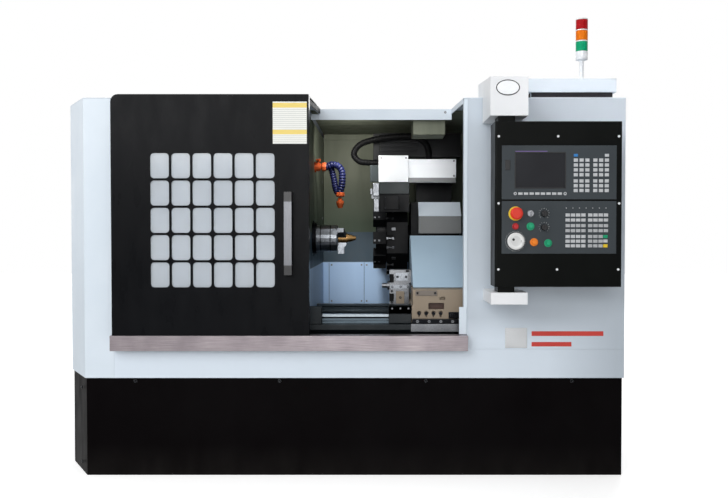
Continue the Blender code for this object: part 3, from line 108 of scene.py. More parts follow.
lamp("key_lamp", (-1.9, -4.2, 2.7), (-0.2, 0, 0.9), 2.4, 79)
lamp("front_lamp", (0.2, -4.9, 1.5), (0.1, 0, 0.9), 1.6, 48)
lamp("left_lamp", (-4.2, -1.6, 1.6), (-1.0, -0.3, 0.8), 2.0, 29)
lamp("top_lamp", (0, -0.6, 4.4), (0, 0, 0.8), 3.0, 48)
lamp("back_lamp", (1.5, 4.2, 3.0), (0, 0, 0.9), 3.0, 90)
lamp("work_lamp", (0.02, -0.13, 1.37), (0.06, 0.5, 1.12), 0.12, 1.2, (1, 0.98, 0.92), 120)
lamp("trough_lamp", (0.02, -0.14, 1.37), (0.02, 0.52, 0.66), 0.1, 0.45, (0.98, 0.99, 1), 60)
lamp("cover_lamp", (0.3, -0.62, 1.215), (0.33, 0.05, 1.21), 0.12, 0.08, (1, 1, 1), 36)
lamp("window_lamp", (1.5, -3.2, 3.0), (0.95, -0.5, 1.5), 0.5, 0.35, (1, 0.98, 0.98), 12)

world = bpy.data.worlds.new("white_room")
world.use_nodes = True
room = world.node_tree
room.nodes.clear()
path = add(room, "ShaderNodeLightPath")
seen = maths("MAXIMUM", path.outputs["Is Camera Ray"], path.outputs["Is Glossy Ray"])
seen = maths("MAXIMUM", seen, path.outputs["Is Transmission Ray"])
strength = add(room, "ShaderNodeMapRange", {"Value": seen, "To Min": 0.28, "To Max": 1.0})
glow = add(room, "ShaderNodeBackground", {"Color": (1, 1, 1, 1), "Strength": strength})
add(room, "ShaderNodeOutputWorld", {"Surface": glow})
scene.world = world

floor_half = 14
floor_shape = bmesh.new()
bmesh.ops.create_grid(floor_shape, x_segments=1, y_segments=1, size=floor_half)
floor_mesh = bpy.data.meshes.new("floor")
floor_shape.to_mesh(floor_mesh)
floor = bpy.data.objects.new("floor", floor_mesh)
scene.collection.objects.link(floor)
floor_finish = bpy.data.materials.new("pale_floor")
floor_finish.use_nodes = True
room = floor_finish.node_tree
shader = room.nodes["Principled BSDF"]
shader.inputs["Roughness"].default_value = 0.6
shader.inputs["Emission Color"].default_value = (1, 1, 1, 1)
path = add(room, "ShaderNodeLightPath")
place = add(room, "ShaderNodeTexCoord").outputs["Object"]
distance = add(room, "ShaderNodeVectorMath", {0: place}, operation="LENGTH").outputs["Value"]
away = add(room, "ShaderNodeMapRange", {"Value": distance, 1: 1.2, 2: 3.2}).outputs[0]
seen = add(room, "ShaderNodeMapRange", {"Value": away, 3: 0.56, 4: 1.0}).outputs[0]
glow = maths("MULTIPLY", path.outputs["Is Camera Ray"], seen)
room.links.new(glow, shader.inputs["Emission Strength"])
shade = add(
    room, "ShaderNodeMix", {0: away, 6: (0.74, 0.74, 0.74, 1), 7: (0.5, 0.5, 0.5, 1)}, data_type="RGBA",
)
room.links.new(shade.outputs[2], shader.inputs["Base Color"])
floor_mesh.materials.append(floor_finish)

# The base: a black welded plinth with a chamfered front-left corner, in semi-gloss powder coat that is
# dusty and scuffed low down, with blackened cap screws along its upper edge and on its corner.


def new_surface(name, roughness, metallic=0.0):
    material = bpy.data.materials.new(name)
    material.use_nodes = True
    tree = material.node_tree
    shader = tree.nodes["Principled BSDF"]
    shader.inputs["Roughness"].default_value = roughness
    shader.inputs["Metallic"].default_value = metallic
    place = add(tree, "ShaderNodeTexCoord").outputs["Object"]
    return material, shader, place


def blended(share, first, second):
    """A colour that runs from the first to the second, screen colours or outputs, by a share of 0 to 1."""
    inputs = {0: share}
    for socket, end in ((6, first), (7, second)):
        inputs[socket] = end if isinstance(end, bpy.types.NodeSocket) else screen_colour(*end)
    return add(share.id_data, "ShaderNodeMix", inputs, data_type="RGBA").outputs[2]


def scaled(value, low, high, to_low=0, to_high=1):
    limits = {"Value": value, 1: low, 2: high, 3: to_low, 4: to_high}
    return add(value.id_data, "ShaderNodeMapRange", limits).outputs[0]


def cloud(place, size, detail=4.0, stretch=None):
    """Noise whose patches are of that size in metres, drawn out along an axis by a stretch."""
    tree = place.id_data
    if stretch:
        place = add(tree, "ShaderNodeMapping", {"Vector": place, "Scale": stretch}).outputs[0]
    noise = add(tree, "ShaderNodeTexNoise", {"Vector": place, "Scale": 1 / size, "Detail": detail})
    return noise.outputs["Fac"]


def edges(shader, radius):
    """1 on an edge of the mesh and 0 away from it, with the rounded normal."""
    tree = shader.id_data
    round_normal = add(tree, "ShaderNodeBevel", {"Radius": radius}, samples=4).outputs[0]
    flat_normal = add(tree, "ShaderNodeNewGeometry").outputs["Normal"]
    likeness = add(
        tree, "ShaderNodeVectorMath", {0: round_normal, 1: flat_normal}, operation="DOT_PRODUCT",
    )
    return scaled(likeness.outputs["Value"], 0.75, 0.99, 1, 0), round_normal


def relief(strength, depth, height, normal=None):
    inputs = {"Strength": strength, "Distance": depth, "Height": height}
    if normal is not None:
        inputs["Normal"] = normal
    return add(height.id_data, "ShaderNodeBump", inputs).outputs[0]


def along(place, axis):
    return add(place.id_data, "ShaderNodeSeparateXYZ", {0: place}).outputs[axis]


def wire(shader, paint, gloss=None, normal=None, metal=None):
    """Links what a surface has to its shader."""
    looks = {"Base Color": paint, "Roughness": gloss, "Normal": normal, "Metallic": metal}
    for label, output in looks.items():
        if output is not None:
            shader.id_data.links.new(output, shader.inputs[label])


def coated(name, colour, faded, worn, roughness, peel=0.15, dust=None, radius=0.0012, gleam=0.5):
    """Powder coat on sheet steel: fine orange peel, faint clouding, wiped smears and rubbed edges."""
    material, shader, place = new_surface(name, roughness)
    shader.inputs["Specular IOR Level"].default_value = gleam
    patches = scaled(cloud(place, 0.35, 5), 0.38, 0.62)
    paint = blended(patches, colour, faded)
    smears = cloud(place, 0.06, 6, (1, 1, 0.35))
    edge, normal = edges(shader, radius)
    chips = scaled(cloud(place, 0.009, 3), 0.46, 0.6)
    rubbed = maths("MULTIPLY", edge, chips)
    paint = blended(rubbed, paint, worn)
    if dust:
        height = along(place, "Z")
        low_down = scaled(height, 0.0, 0.12, 0.5, 0)
        settled = maths("MULTIPLY", low_down, smears)
        paint = blended(settled, paint, dust)
    gloss = scaled(smears, 0.35, 0.65, roughness - 0.06, roughness + 0.08)
    wire(shader, paint, gloss, relief(peel, 0.0004, cloud(place, 0.0022, 2), normal))
    return material


def dress(material, *names):
    for name in names:
        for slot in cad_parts[name].material_slots:
            slot.material = material


black_coat = coated("black_coat", (6, 4, 5), (9, 7, 8), (60, 60, 62), 0.36, dust=(40, 38, 36), gleam=0.03)
dress(black_coat, "base_plinth")


def machined(name, colour, grain, roughness, stretch):
    """Bare metal: fine tool or brush lines drawn out along one axis, with stains and bright edges."""
    material, shader, place = new_surface(name, roughness, 1.0)
    lines = cloud(place, 0.05, 8, stretch)
    stain = scaled(cloud(place, 0.08, 4), 0.35, 0.7, 0, 0.6)
    paint = blended(scaled(lines, 0.3, 0.7), colour, grain)
    paint = blended(stain, paint, grain)
    edge, normal = edges(shader, 0.0008)
    paint = blended(scaled(edge, 0, 1, 0, 0.5), paint, (215, 218, 222))
    gloss = scaled(lines, 0.3, 0.7, roughness - 0.07, roughness + 0.1)
    wire(shader, paint, gloss, relief(0.12, 0.0003, lines, normal))
    return material


def geometry_tree(name, counts, sizes):
    """An empty tree with a mesh in and out, a finish, and a named input for each count and size."""
    tree = bpy.data.node_groups.new(name, "GeometryNodeTree")
    tree.interface.new_socket("Mesh", in_out="INPUT", socket_type="NodeSocketGeometry")
    for kind, labels in (("Int", counts), ("Float", sizes), ("Material", ["Finish"])):
        for label in labels:
            tree.interface.new_socket(label, in_out="INPUT", socket_type="NodeSocket" + kind)
    tree.interface.new_socket("Mesh", in_out="OUTPUT", socket_type="NodeSocketGeometry")
    return tree, tree.nodes.new("NodeGroupInput").outputs


def close_tree(tree, given, shape, smooth=False):
    """The tree's end: real geometry, shading and the finish. Gives the tree back."""
    real = add(tree, "GeometryNodeRealizeInstances", {"Geometry": shape})
    if smooth:
        real = add(tree, "GeometryNodeSetShadeSmooth", {"Geometry": real})
    done = add(tree, "GeometryNodeSetMaterial", {"Geometry": real, "Material": given["Finish"]})
    tree.links.new(done.outputs[0], tree.nodes.new("NodeGroupOutput").inputs[0])
    return tree


def copies(points, shape, turn=None):
    """The shape at each of the points, turned by a rotation where there is one."""
    inputs = {"Points": points, "Instance": shape}
    if turn is not None:
        inputs["Rotation"] = turn
    return add(shape.id_data, "GeometryNodeInstanceOnPoints", inputs)


def aimed(tree):
    """The rotation that turns +Z to the direction that each mark carries."""
    facing = add(tree, "GeometryNodeInputNamedAttribute", {"Name": "aim"}, data_type="FLOAT_VECTOR")
    return add(tree, "FunctionNodeAlignRotationToVector", {"Vector": facing}, axis="Z")


def triple(tree, x=0.0, y=0.0, z=0.0):
    return add(tree, "ShaderNodeCombineXYZ", {0: x, 1: y, 2: z})


def grown(name, tree, start, sizes, finish, body):
    """Runs a tree on a start mesh and keeps the result as a plain mesh that rides on a body."""
    holder = bpy.data.objects.new(name, start)
    scene.collection.objects.link(holder)
    modifier = holder.modifiers.new("shape", "NODES")
    modifier.node_group = tree
    for socket in tree.interface.items_tree:
        if socket.in_out == "INPUT" and socket.name in sizes:
            modifier[socket.identifier] = sizes[socket.name]
        if socket.in_out == "INPUT" and socket.name == "Finish":
            modifier[socket.identifier] = finish
    graph = bpy.context.evaluated_depsgraph_get()
    mesh = bpy.data.meshes.new_from_object(holder.evaluated_get(graph))
    holder.modifiers.remove(modifier)
    holder.data = mesh
    mesh.name = name
    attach(holder, body)
    return holder


def marks(places, aim):
    """A mesh of loose points that carry the direction in which a fastener there faces."""
    mesh = bpy.data.meshes.new("marks")
    mesh.from_pydata([tuple(place) for place in places], [], [])
    faces = mesh.attributes.new("aim", "FLOAT_VECTOR", "POINT")
    for datum in faces.data:
        datum.vector = aim
    return mesh


# Cap screws: a round head with a hexagon socket sunk into it, set at each mark.
tree, given = geometry_tree("Cap screws", ["Sides"], ["Head radius", "Head height", "Socket share"])
head = add(
    tree, "GeometryNodeMeshCylinder",
    {"Vertices": given["Sides"], "Radius": given["Head radius"], "Depth": given["Head height"]},
)
rim = add(
    tree, "GeometryNodeExtrudeMesh",
    {"Mesh": head.outputs["Mesh"], "Selection": head.outputs["Top"], "Offset Scale": 0.0},
)
socket_edge = add(
    tree, "GeometryNodeScaleElements",
    {"Geometry": rim.outputs["Mesh"], "Selection": rim.outputs["Top"], "Scale": given["Socket share"]},
)
sink = maths("MULTIPLY", given["Head height"], -0.6)
sunk = add(
    tree, "GeometryNodeExtrudeMesh",
    {"Mesh": socket_edge, "Selection": rim.outputs["Top"], "Offset Scale": sink},
)
heads = copies(given["Mesh"], sunk, aimed(tree))
screw_tree = close_tree(tree, given, heads)

zinc = machined("zinc_plate", (150, 152, 156), (96, 98, 102), 0.36, (30, 30, 30))


def screws(name, places, aim, body, radius=0.0065, height=0.005, finish=None):
    sizes = {"Head radius": radius, "Head height": height, "Socket share": 0.5, "Sides": 12}
    grown(name, screw_tree, marks(places, aim), sizes, finish or zinc, body)


def piece(name, shape, finish, body, smooth=False):
    """A finished piece from a bmesh in world space, riding on a CAD body."""
    mesh = bpy.data.meshes.new(name)
    bmesh.ops.recalc_face_normals(shape, faces=shape.faces)
    shape.to_mesh(mesh)
    shape.free()
    mesh.materials.append(finish)
    if smooth:
        mesh.shade_smooth()
        mesh.set_sharp_from_angle(angle=math.radians(40))
    made = bpy.data.objects.new(name, mesh)
    scene.collection.objects.link(made)
    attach(made, body)


def block(low, high, edge=0.0, segments=2):
    """A block between two corners, with its edges rounded by a radius."""
    shape = bmesh.new()
    size = Vector(high) - Vector(low)
    middle = (Vector(high) + Vector(low)) / 2
    bmesh.ops.create_cube(shape, size=1, matrix=Matrix.Translation(middle) @ Matrix.Diagonal((*size, 1)))
    if edge:
        bmesh.ops.bevel(
            shape, geom=shape.edges[:], offset=edge, segments=segments, affect="EDGES", profile=0.5,
        )
    return shape


def prism(outline, axis, start, end):
    """A flat outline drawn out along an axis. The outline's two numbers follow that axis in turn."""
    shape = bmesh.new()
    order = {"X": (0, 1, 2), "Y": (1, 2, 0), "Z": (2, 0, 1)}[axis]
    corners = []
    for point in outline:
        spot = [0.0, 0.0, 0.0]
        for place, value in zip(order, (start, *point)):
            spot[place] = value
        corners.append(shape.verts.new(spot))
    base = shape.faces.new(corners)
    drawn = bmesh.ops.extrude_face_region(shape, geom=[base])
    travel = Vector((0, 0, 0))
    travel[order[0]] = end - start
    moved = [item for item in drawn["geom"] if isinstance(item, bmesh.types.BMVert)]
    bmesh.ops.translate(shape, verts=moved, vec=travel)
    return shape


def turned(profile, origin, axis, sides=48):
    """A closed profile of radius and travel, turned about an axis through an origin."""
    shape = bmesh.new()
    turn = Vector(axis).to_track_quat("Z", "Y").to_matrix().to_4x4()
    place = Matrix.Translation(origin) @ turn
    rings = []
    for step in range(sides):
        angle = 2 * math.pi * step / sides
        spots = [Vector((r * math.cos(angle), r * math.sin(angle), travel)) for r, travel in profile]
        rings.append([shape.verts.new(place @ spot) for spot in spots])
    count = len(profile)
    for step, ring in enumerate(rings):
        beside = rings[(step + 1) % sides]
        for n in range(count):
            shape.faces.new((ring[n], ring[(n + 1) % count], beside[(n + 1) % count], beside[n]))
    bmesh.ops.remove_doubles(shape, verts=shape.verts[:], dist=0.00001)
    return shape


def several(shapes):
    whole = bmesh.new()
    for shape in shapes:
        mesh = bpy.data.meshes.new("shape")
        shape.to_mesh(mesh)
        whole.from_mesh(mesh)
        bpy.data.meshes.remove(mesh)
        shape.free()
    return whole


def slabs(name, finish, body, slot, *corners):
    """A piece made of blocks, each given by two corners and what else block takes."""
    piece(name, several([block(*pair) for pair in corners]), finish, body)


def halfway(low, high):
    return tuple((first + second) / 2 for first, second in zip(low, high))


def circle(middle, radius, degrees, across=(1, 2)):
    """Points on a circle about a middle, at each of the angles, across two of the axes."""
    spots = [list(middle) for _ in degrees]
    for spot, angle in zip(spots, degrees):
        spot[across[0]] += radius * math.cos(math.radians(angle))
        spot[across[1]] += radius * math.sin(math.radians(angle))
    return spots


FRONT, RIGHT, UP = (0, -1, 0), (1, 0, 0), (0, 0, 1)
base_low, base_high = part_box("base_plinth")
edge_drop = 0.012
head_gap = 0.0005
screw_row = [
    (x, base_low[1] - head_gap, base_high[2] - edge_drop)
    for x in (-0.776, -0.225, 0.334, 0.892)
]
black_zinc = machined("black_zinc", (48, 49, 52), (30, 31, 33), 0.45, (30, 30, 30))
screws("base_screws", screw_row, FRONT, "machine", finish=black_zinc)
corner_aim = Vector((-0.195, -0.124, 0)).normalized()
corner_middle = Vector((-1.028, -0.402, 0)) + corner_aim * head_gap
corner_row = [corner_middle + Vector((0.03, -0.047, z)) for z in (0.33, 0.04)]
screws("base_corner_screws", corner_row, corner_aim, "machine", finish=black_zinc)

# The bed: a ribbed iron casting in dark machine enamel, with two ground guide rails screwed down on it
# and a ball screw between them that a servo motor turns. Stop blocks stand at the rails' left ends.
bed_enamel = coated(
    "bed_enamel", (20, 27, 31), (26, 33, 37), (92, 94, 96), 0.45, peel=0.5, radius=0.003, gleam=0.3,
)
dress(bed_enamel, "bed_casting")
ground_steel = machined("ground_steel", (176, 184, 190), (118, 126, 132), 0.26, (1, 40, 40))
dress(ground_steel, "z_screw")
# Painted shade: the rear rail is given dark steel, for the shade in the gap where it lies.
rear_rail_shade_steel = machined("rear_rail_shade_steel", (62, 70, 76), (34, 40, 44), 0.32, (1, 40, 40))
dress(rear_rail_shade_steel, "rear_rail")
rail_steel, shader, place = new_surface("profile_rail", 0.3, 1.0)
height = along(place, "Z")
lines = cloud(place, 0.05, 8, (1, 40, 40))
# Painted shade: a dark line along the rail's groove, drawn in colour, not cut, under a brighter top band.
crown = scaled(height, 0.5915, 0.5925)
groove_shade_share = scaled(height, 0.5845, 0.5855)
tone = blended(lines, (96, 108, 116), (70, 80, 88))
tone = blended(groove_shade_share, tone, (22, 26, 30))
bright_crown = blended(lines, (176, 186, 192), (140, 150, 158))
gloss = scaled(lines, 0.3, 0.7, 0.24, 0.42)
wire(shader, blended(crown, tone, bright_crown), gloss)
dress(rail_steel, "front_rail")
motor_case = coated("motor_case", (34, 36, 42), (42, 44, 50), (110, 112, 116), 0.42, gleam=0.3)
dress(motor_case, "z_motor", "x_motor", "spindle_motor")
rail_pitch = 0.08
for rail in ("front_rail", "rear_rail"):
    low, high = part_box(rail)
    bolt_xs = [low[0] + rail_pitch * (n + 0.5) for n in range(int((high[0] - low[0]) / rail_pitch))]
    bolts = [(x, halfway(low, high)[1], high[2] + 0.0002) for x in bolt_xs]
    screws(rail + "_bolts", bolts, UP, "machine", 0.0052, 0.001)
low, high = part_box("front_rail")
stops = ((-0.127, -0.072, 0.636), (0.9, 0.926, 0.625))
stop_corners = [
    ((left, low[1] - 0.048, 0.5667), (right, low[1] - 0.004, top), 0.002)
    for left, right, top in stops
]
slabs("way_stops", bed_enamel, "machine", "dark_casting", *stop_corners)

# The ball screw's thread: one rounded groove's crest that winds along the whole screw.
tree, given = geometry_tree("Screw thread", [], ["Turns", "Crest radius", "Length", "Crest size"])
winding = add(
    tree, "GeometryNodeCurveSpiral",
    {
        "Resolution": 14, "Rotations": given["Turns"], "Start Radius": given["Crest radius"],
        "End Radius": given["Crest radius"], "Height": given["Length"],
    },
)
crest = add(tree, "GeometryNodeCurvePrimitiveCircle", {"Resolution": 5, "Radius": given["Crest size"]})
wound = add(
    tree, "GeometryNodeCurveToMesh", {"Curve": winding, "Profile Curve": crest, "Fill Caps": True},
)
along_x = add(tree, "GeometryNodeTransform", {"Geometry": wound, "Rotation": (0, math.pi / 2, 0)})
anchor = copies(given["Mesh"], along_x)
thread_tree = close_tree(tree, given, anchor, True)
low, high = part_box("z_screw")
thread_pitch = 0.01
crest_size = 0.0013
screw_radius = (high[2] - low[2]) / 2
thread_length = high[0] - low[0] - 2 * thread_pitch
sizes = {
    "Turns": thread_length / thread_pitch, "Crest radius": screw_radius - crest_size + 0.0003,
    "Length": thread_length, "Crest size": crest_size,
}
start = marks([(low[0] + thread_pitch, *halfway(low, high)[1:])], RIGHT)
grown("z_screw_thread", thread_tree, start, sizes, ground_steel, "z_screw")

# The enclosure: folded sheet steel in pale blue-grey powder coat, in panels that meet at open seams, with
# the header's folded end and a rubber seal in the roof's notch. Its badge plate and stripes stay bare.
body_coat = coated("body_coat", (212, 223, 233), (219, 229, 238), (182, 192, 202), 0.42, gleam=0.4)
dress(body_coat, "left_cabinet", "rear_cover", "roof_panel")
# Painted shade: the right cabinet wears a darker copy of the body coat, for the shade that falls on it.
painted_shade_coat = coated(
    "body_coat_painted_shade", (188, 198, 208), (194, 204, 214), (176, 186, 196), 0.42, gleam=0.4,
)
dress(painted_shade_coat, "right_cabinet")
band_coat = coated("band_coat", (214, 225, 235), (220, 230, 239), (182, 192, 202), 0.42, gleam=0.4)
dress(band_coat, "lower_front_panel")
# Painted shade and light: on the right cabinet and the lower band the colour runs darker towards the right
# end, and the right cabinet turns paler towards its foot, where less shade is painted.
pale_foot, painted_shade_end = (216, 227, 238), (182, 192, 202)
shade_ramp_x = (0.8, 1.06)
foot_z = (0.52, 0.605)
for coat in (painted_shade_coat, band_coat):
    shader = coat.node_tree.nodes["Principled BSDF"]
    place = add(coat.node_tree, "ShaderNodeTexCoord").outputs["Object"]
    shade_share = scaled(along(place, "X"), *shade_ramp_x)
    foot_share = scaled(along(place, "Z"), *foot_z, 1, 0)
    foot_paint_and_shade = blended(shade_share, pale_foot, painted_shade_end)
    wire(shader, blended(foot_share, shader.inputs["Base Color"].links[0].from_socket, foot_paint_and_shade))
doorway_right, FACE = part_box("right_cabinet")[0][:2]
roof_top = 1.44
badge_finish = machined("badge_plate", (206, 208, 210), (176, 178, 180), 0.42, (60, 1, 60))
slabs(
    "badge_plate", badge_finish, "machine", "bright_steel",
    ((0.6355, FACE - 0.0016, 0.489), (0.7195, FACE - 0.0002, 0.566), 0.0005),
    ((0.6395, FACE - 0.0022, 0.493), (0.7155, FACE - 0.0012, 0.562), 0.0004),
)
stripe_red = coated("stripe_red", (196, 52, 44), (204, 62, 52), (214, 120, 110), 0.4)
stripes = ((0.535, 1.0102, 0.553), (0.495, 0.8886, 0.512))
stripe_corners = [
    ((0.7366, FACE - 0.0006, low), (right, FACE - 0.0001, high), 0.0001, 1)
    for low, right, high in stripes
]
slabs("side_stripes", stripe_red, "machine", "red_plastic", *stripe_corners)
slabs(
    "doorway_hem", body_coat, "machine", "body_paint",
    (
        (doorway_right + 0.0005, FACE - 0.0016, 0.543),
        (doorway_right + 0.014, FACE - 0.0002, roof_top - 0.006), 0.0006,
    ),
)
slabs(
    "door_stop", body_coat, "machine", "body_paint",
    ((0.46, FACE - 0.0045, 0.5425), (0.488, FACE - 0.0018, 0.646), 0.0008),
)
header_y = -0.22
slabs(
    "header_end", body_coat, "machine", "body_paint",
    ((-0.1285, header_y, 1.3965), (-0.0925, header_y + 0.0055, 1.4195)),
)
screws("header_screws", [(0.429, header_y - head_gap, 1.427)], FRONT, "machine", 0.005)
roof_marks = [(x, y, roof_top + head_gap) for x in (-0.95, -0.35, 0.3, 1.04) for y in (0.71, 0.25)]
screws("roof_screws", roof_marks, UP, "machine", 0.007, 0.004)
hood_top, hood_margin = 1.516, 0.02
hood_xs, hood_ys = (0.725 + hood_margin, 1.06 - hood_margin), (-0.48 + hood_margin, 0.1 - hood_margin)
hood_marks = [(x, y, hood_top + head_gap) for x in hood_xs for y in hood_ys]
screws("hood_screws", hood_marks, UP, "machine", 0.006, 0.004)
# Painted shade: dark strips fill the gap under the hood, where there is shade.
dark_strip_finish = coated("hood_shade_strip", (24, 24, 26), (30, 30, 32), (50, 50, 52), 0.6, gleam=0.2)
strips = (
    (0.7372, -0.472, 1.0478, -0.4684), (1.0484, -0.456, 1.052, 0.076), (0.733, -0.456, 0.7366, 0.076),
)
hood_shade_strips = [((left, near, 1.447), (right, far, 1.464), 0.0008) for left, near, right, far in strips]
slabs("hood_shade_strip", dark_strip_finish, "machine", "black_rubber", *hood_shade_strips)
seal = [
    (-0.1125, FACE + 0.022), (-0.1105, FACE + 0.022), (-0.0888, header_y - 0.002),
    (-0.0908, header_y - 0.002),
]
piece("notch_seal", prism(seal, "Z", 1.4202, 1.4395), dark_strip_finish, "machine")

# The back cover's louvres: vanes that slope down behind each slot, to keep chips and rain of coolant out.
tree, given = geometry_tree("Louvre vanes", ["Count"], ["Pitch", "Width", "Depth", "Thickness", "Slope"])
rise = triple(tree, z=given["Pitch"])
column = add(tree, "GeometryNodeMeshLine", {"Count": given["Count"], "Offset": rise})
vane_size = triple(tree, given["Width"], given["Depth"], given["Thickness"])
vane = add(tree, "GeometryNodeMeshCube", {"Size": vane_size})
tilt = triple(tree, given["Slope"])
set_vanes = copies(column, vane, tilt)
banks = copies(given["Mesh"], set_vanes)
vane_tree = close_tree(tree, given, banks)
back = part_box("rear_cover")[1][1]
bank_marks = marks([(side * 0.545, back - 0.012, 0.496) for side in (-1, 1)], (0, 1, 0))
sizes = {
    "Count": 8, "Pitch": 0.03, "Width": 0.31, "Depth": 0.022, "Thickness": 0.0015,
    "Slope": math.radians(35),
}
grown("rear_louvres", vane_tree, bank_marks, sizes, body_coat, "machine")

# The sill: brushed stainless steel that the door runs along.
stainless = machined("brushed_stainless", (186, 176, 179), (128, 120, 125), 0.36, (0.6, 60, 60))
dress(stainless, "sill_strip")
low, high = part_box("sill_strip")
# Painted highlight: a paler strip along the sill's top edge, where light catches it.
sill_highlight_steel = machined("sill_edge_painted_highlight", (206, 204, 208), (180, 178, 184), 0.34, (0.6, 60, 60))
highlight_low = (low[0] + 0.001, low[1] + 0.0004, high[2] - 0.0035)
highlight_high = (high[0] - 0.001, low[1] + 0.004, high[2] - 0.0001)
slabs("sill_edge", sill_highlight_steel, "machine", "brushed_stainless", (highlight_low, highlight_high, 0.0008))

# The work space's lining: one folded sheet, grey-green above, with painted shade darker towards the bottom
# and on the left wall, dark with painted shade on the slope, and pale blue below it, where three plates
# screw on over it. A ceiling sheet closes it at the top.
liner, shader, place = new_surface("lining", 0.5)
shader.inputs["Specular IOR Level"].default_value = 0.12
across, height = along(place, "X"), along(place, "Z")
streaks = cloud(place, 0.05, 6, (1, 1, 0.12))
clouds = scaled(cloud(place, 0.3, 4), 0.35, 0.65)
upper = blended(clouds, (106, 111, 97), (118, 122, 107))
upper = blended(scaled(across, -0.06, 0.08), upper, (124, 128, 113))
# Painted shade: the upper wall runs darker towards the bottom.
upper = blended(scaled(height, 0.98, 1.22, 1, 0), upper, (68, 78, 65))
upper = blended(scaled(streaks, 0.45, 0.75, 0, 0.4), upper, (82, 88, 77))
# Painted shade: the slope below the wall is dark blue-grey.
slope = blended(streaks, (44, 58, 68), (60, 76, 88))
# Painted shade: the left wall is darker.
left_wall_shade = scaled(across, -0.1299, -0.1295, 0.45, 0)
upper = blended(left_wall_shade, upper, (44, 52, 46))
lower = blended(streaks, (174, 202, 236), (188, 215, 246))
paint = blended(scaled(height, 0.929, 0.933), slope, upper)
paint = blended(scaled(height, 0.776, 0.78), lower, paint)
gloss = scaled(streaks, 0.3, 0.7, 0.42, 0.6)
wire(shader, paint, gloss, relief(0.15, 0.0004, cloud(place, 0.002, 2)))
dress(liner, "work_liner")
plate_y = 0.5185
plate_ends = ((-0.129, -0.1018), (-0.0996, 0.0768), (0.079, 0.42), (0.422, 0.926))
plates = [
    ((left, plate_y - 0.0015, 0.567), (right, plate_y + 0.001, 0.7765), 0.0006)
    for left, right in plate_ends
]
slabs("lower_plates", liner, "machine", "liner_paint", *plates)
joints = [
    ((left - 0.0018, plate_y + 0.0011, 0.5675), (left, plate_y + 0.0014, 0.776))
    for left, right in plate_ends[1:]
]
joint_black = coated("joint_black", (30, 36, 44), (36, 42, 50), (40, 46, 54), 0.7, gleam=0.1)
slabs("plate_joints", joint_black, "machine", "dark_casting", *joints)
bolt_xs = [x for left, right in plate_ends[1:] for x in (left + 0.012, right - 0.012)]
plate_bolts = [(x, plate_y - 0.002, z) for x in bolt_xs for z in (0.58, 0.764)]
screws("plate_screws", plate_bolts, FRONT, "machine", 0.0045, 0.003)
slabs(
    "ceiling_sheet", liner, "machine", "liner_paint", ((-0.1295, -0.212, 1.4325), (0.9265, 0.579, 1.435)),
    ((-0.1295, 0.57, 1.405), (0.9265, 0.579, 1.433)),
)
slabs(
    "lamp_bracket", liner, "machine", "liner_paint",
    ((0.296, -0.19, 1.337), (0.432, -0.05, 1.34), 0.0008),
    ((0.296, -0.19, 1.337), (0.299, -0.05, 1.433), 0.0008),
    ((0.429, -0.19, 1.337), (0.432, -0.05, 1.433), 0.0008),
    ((0.296, -0.19, 1.337), (0.432, -0.187, 1.433), 0.0008),
)
wall_marks = [(-0.1297, y, z) for y in (0.44, -0.3) for z in (1.36, 1.18, 1.0)]
screws("wall_screws", wall_marks, RIGHT, "machine", 0.0055, 0.0035)

# The drive, behind the left wall: an iron headstock, and a motor whose finned case turns the spindle by a
# toothed rubber belt.
iron = coated("grey_iron", (70, 74, 78), (84, 88, 92), (130, 134, 138), 0.5, peel=0.5)
dress(iron, "headstock")
black_steel = machined("blackened_steel", (30, 31, 34), (18, 19, 22), 0.4, (30, 30, 30))
dress(black_steel, "spindle", "motor_pulley")
rubber = coated("black_rubber", (26, 26, 28), (34, 34, 36), (60, 60, 62), 0.6)
dress(rubber, "drive_belt")

# A ring of like bars about an axis, evenly stepped: cooling fins, parts round a disc, ticks round a dial.
tree, given = geometry_tree(
    "Ring of bars", ["Count"],
    ["Start angle", "Step angle", "Ring radius", "Radial size", "Width", "Thickness"],
)
bar_line = add(tree, "GeometryNodeMeshLine", {"Count": given["Count"], "Offset": (0, 0, 0)})
number = add(tree, "GeometryNodeInputIndex").outputs[0]
stepped = maths("MULTIPLY", number, given["Step angle"])
angle = maths("ADD", stepped, given["Start angle"])
outward = triple(tree, maths("COSINE", angle), maths("SINE", angle))
spread = add(
    tree, "ShaderNodeVectorMath", {"Vector": outward, "Scale": given["Ring radius"]}, operation="SCALE",
)
placed = add(tree, "GeometryNodeSetPosition", {"Geometry": bar_line, "Position": spread})
bar_size = triple(tree, given["Radial size"], given["Width"], given["Thickness"])
bar = add(tree, "GeometryNodeMeshCube", {"Size": bar_size})
spin = triple(tree, z=angle)
bars = copies(placed, bar, spin)
rings = copies(given["Mesh"], bars, aimed(tree))
ring_tree = close_tree(tree, given, rings)


def ring_of_bars(name, places, aim, count, radius, bar_sizes, finish, body, start=0.0, step=None):
    sizes = {
        "Count": count, "Start angle": start, "Step angle": step or 2 * math.pi / count,
        "Ring radius": radius, **dict(zip(("Radial size", "Width", "Thickness"), bar_sizes)),
    }
    grown(name, ring_tree, marks(places, aim), sizes, finish, body)


low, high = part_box("spindle_motor")
motor_radius = 0.105
fin_depth, fin_width, fin_length = 0.007, 0.0022, 0.24
fin_circle = motor_radius + fin_depth / 2 - 0.001
ring_of_bars(
    "motor_fins", [halfway(low, high)], RIGHT, 48, fin_circle, (fin_depth, fin_width, fin_length),
    motor_case, "machine",
)

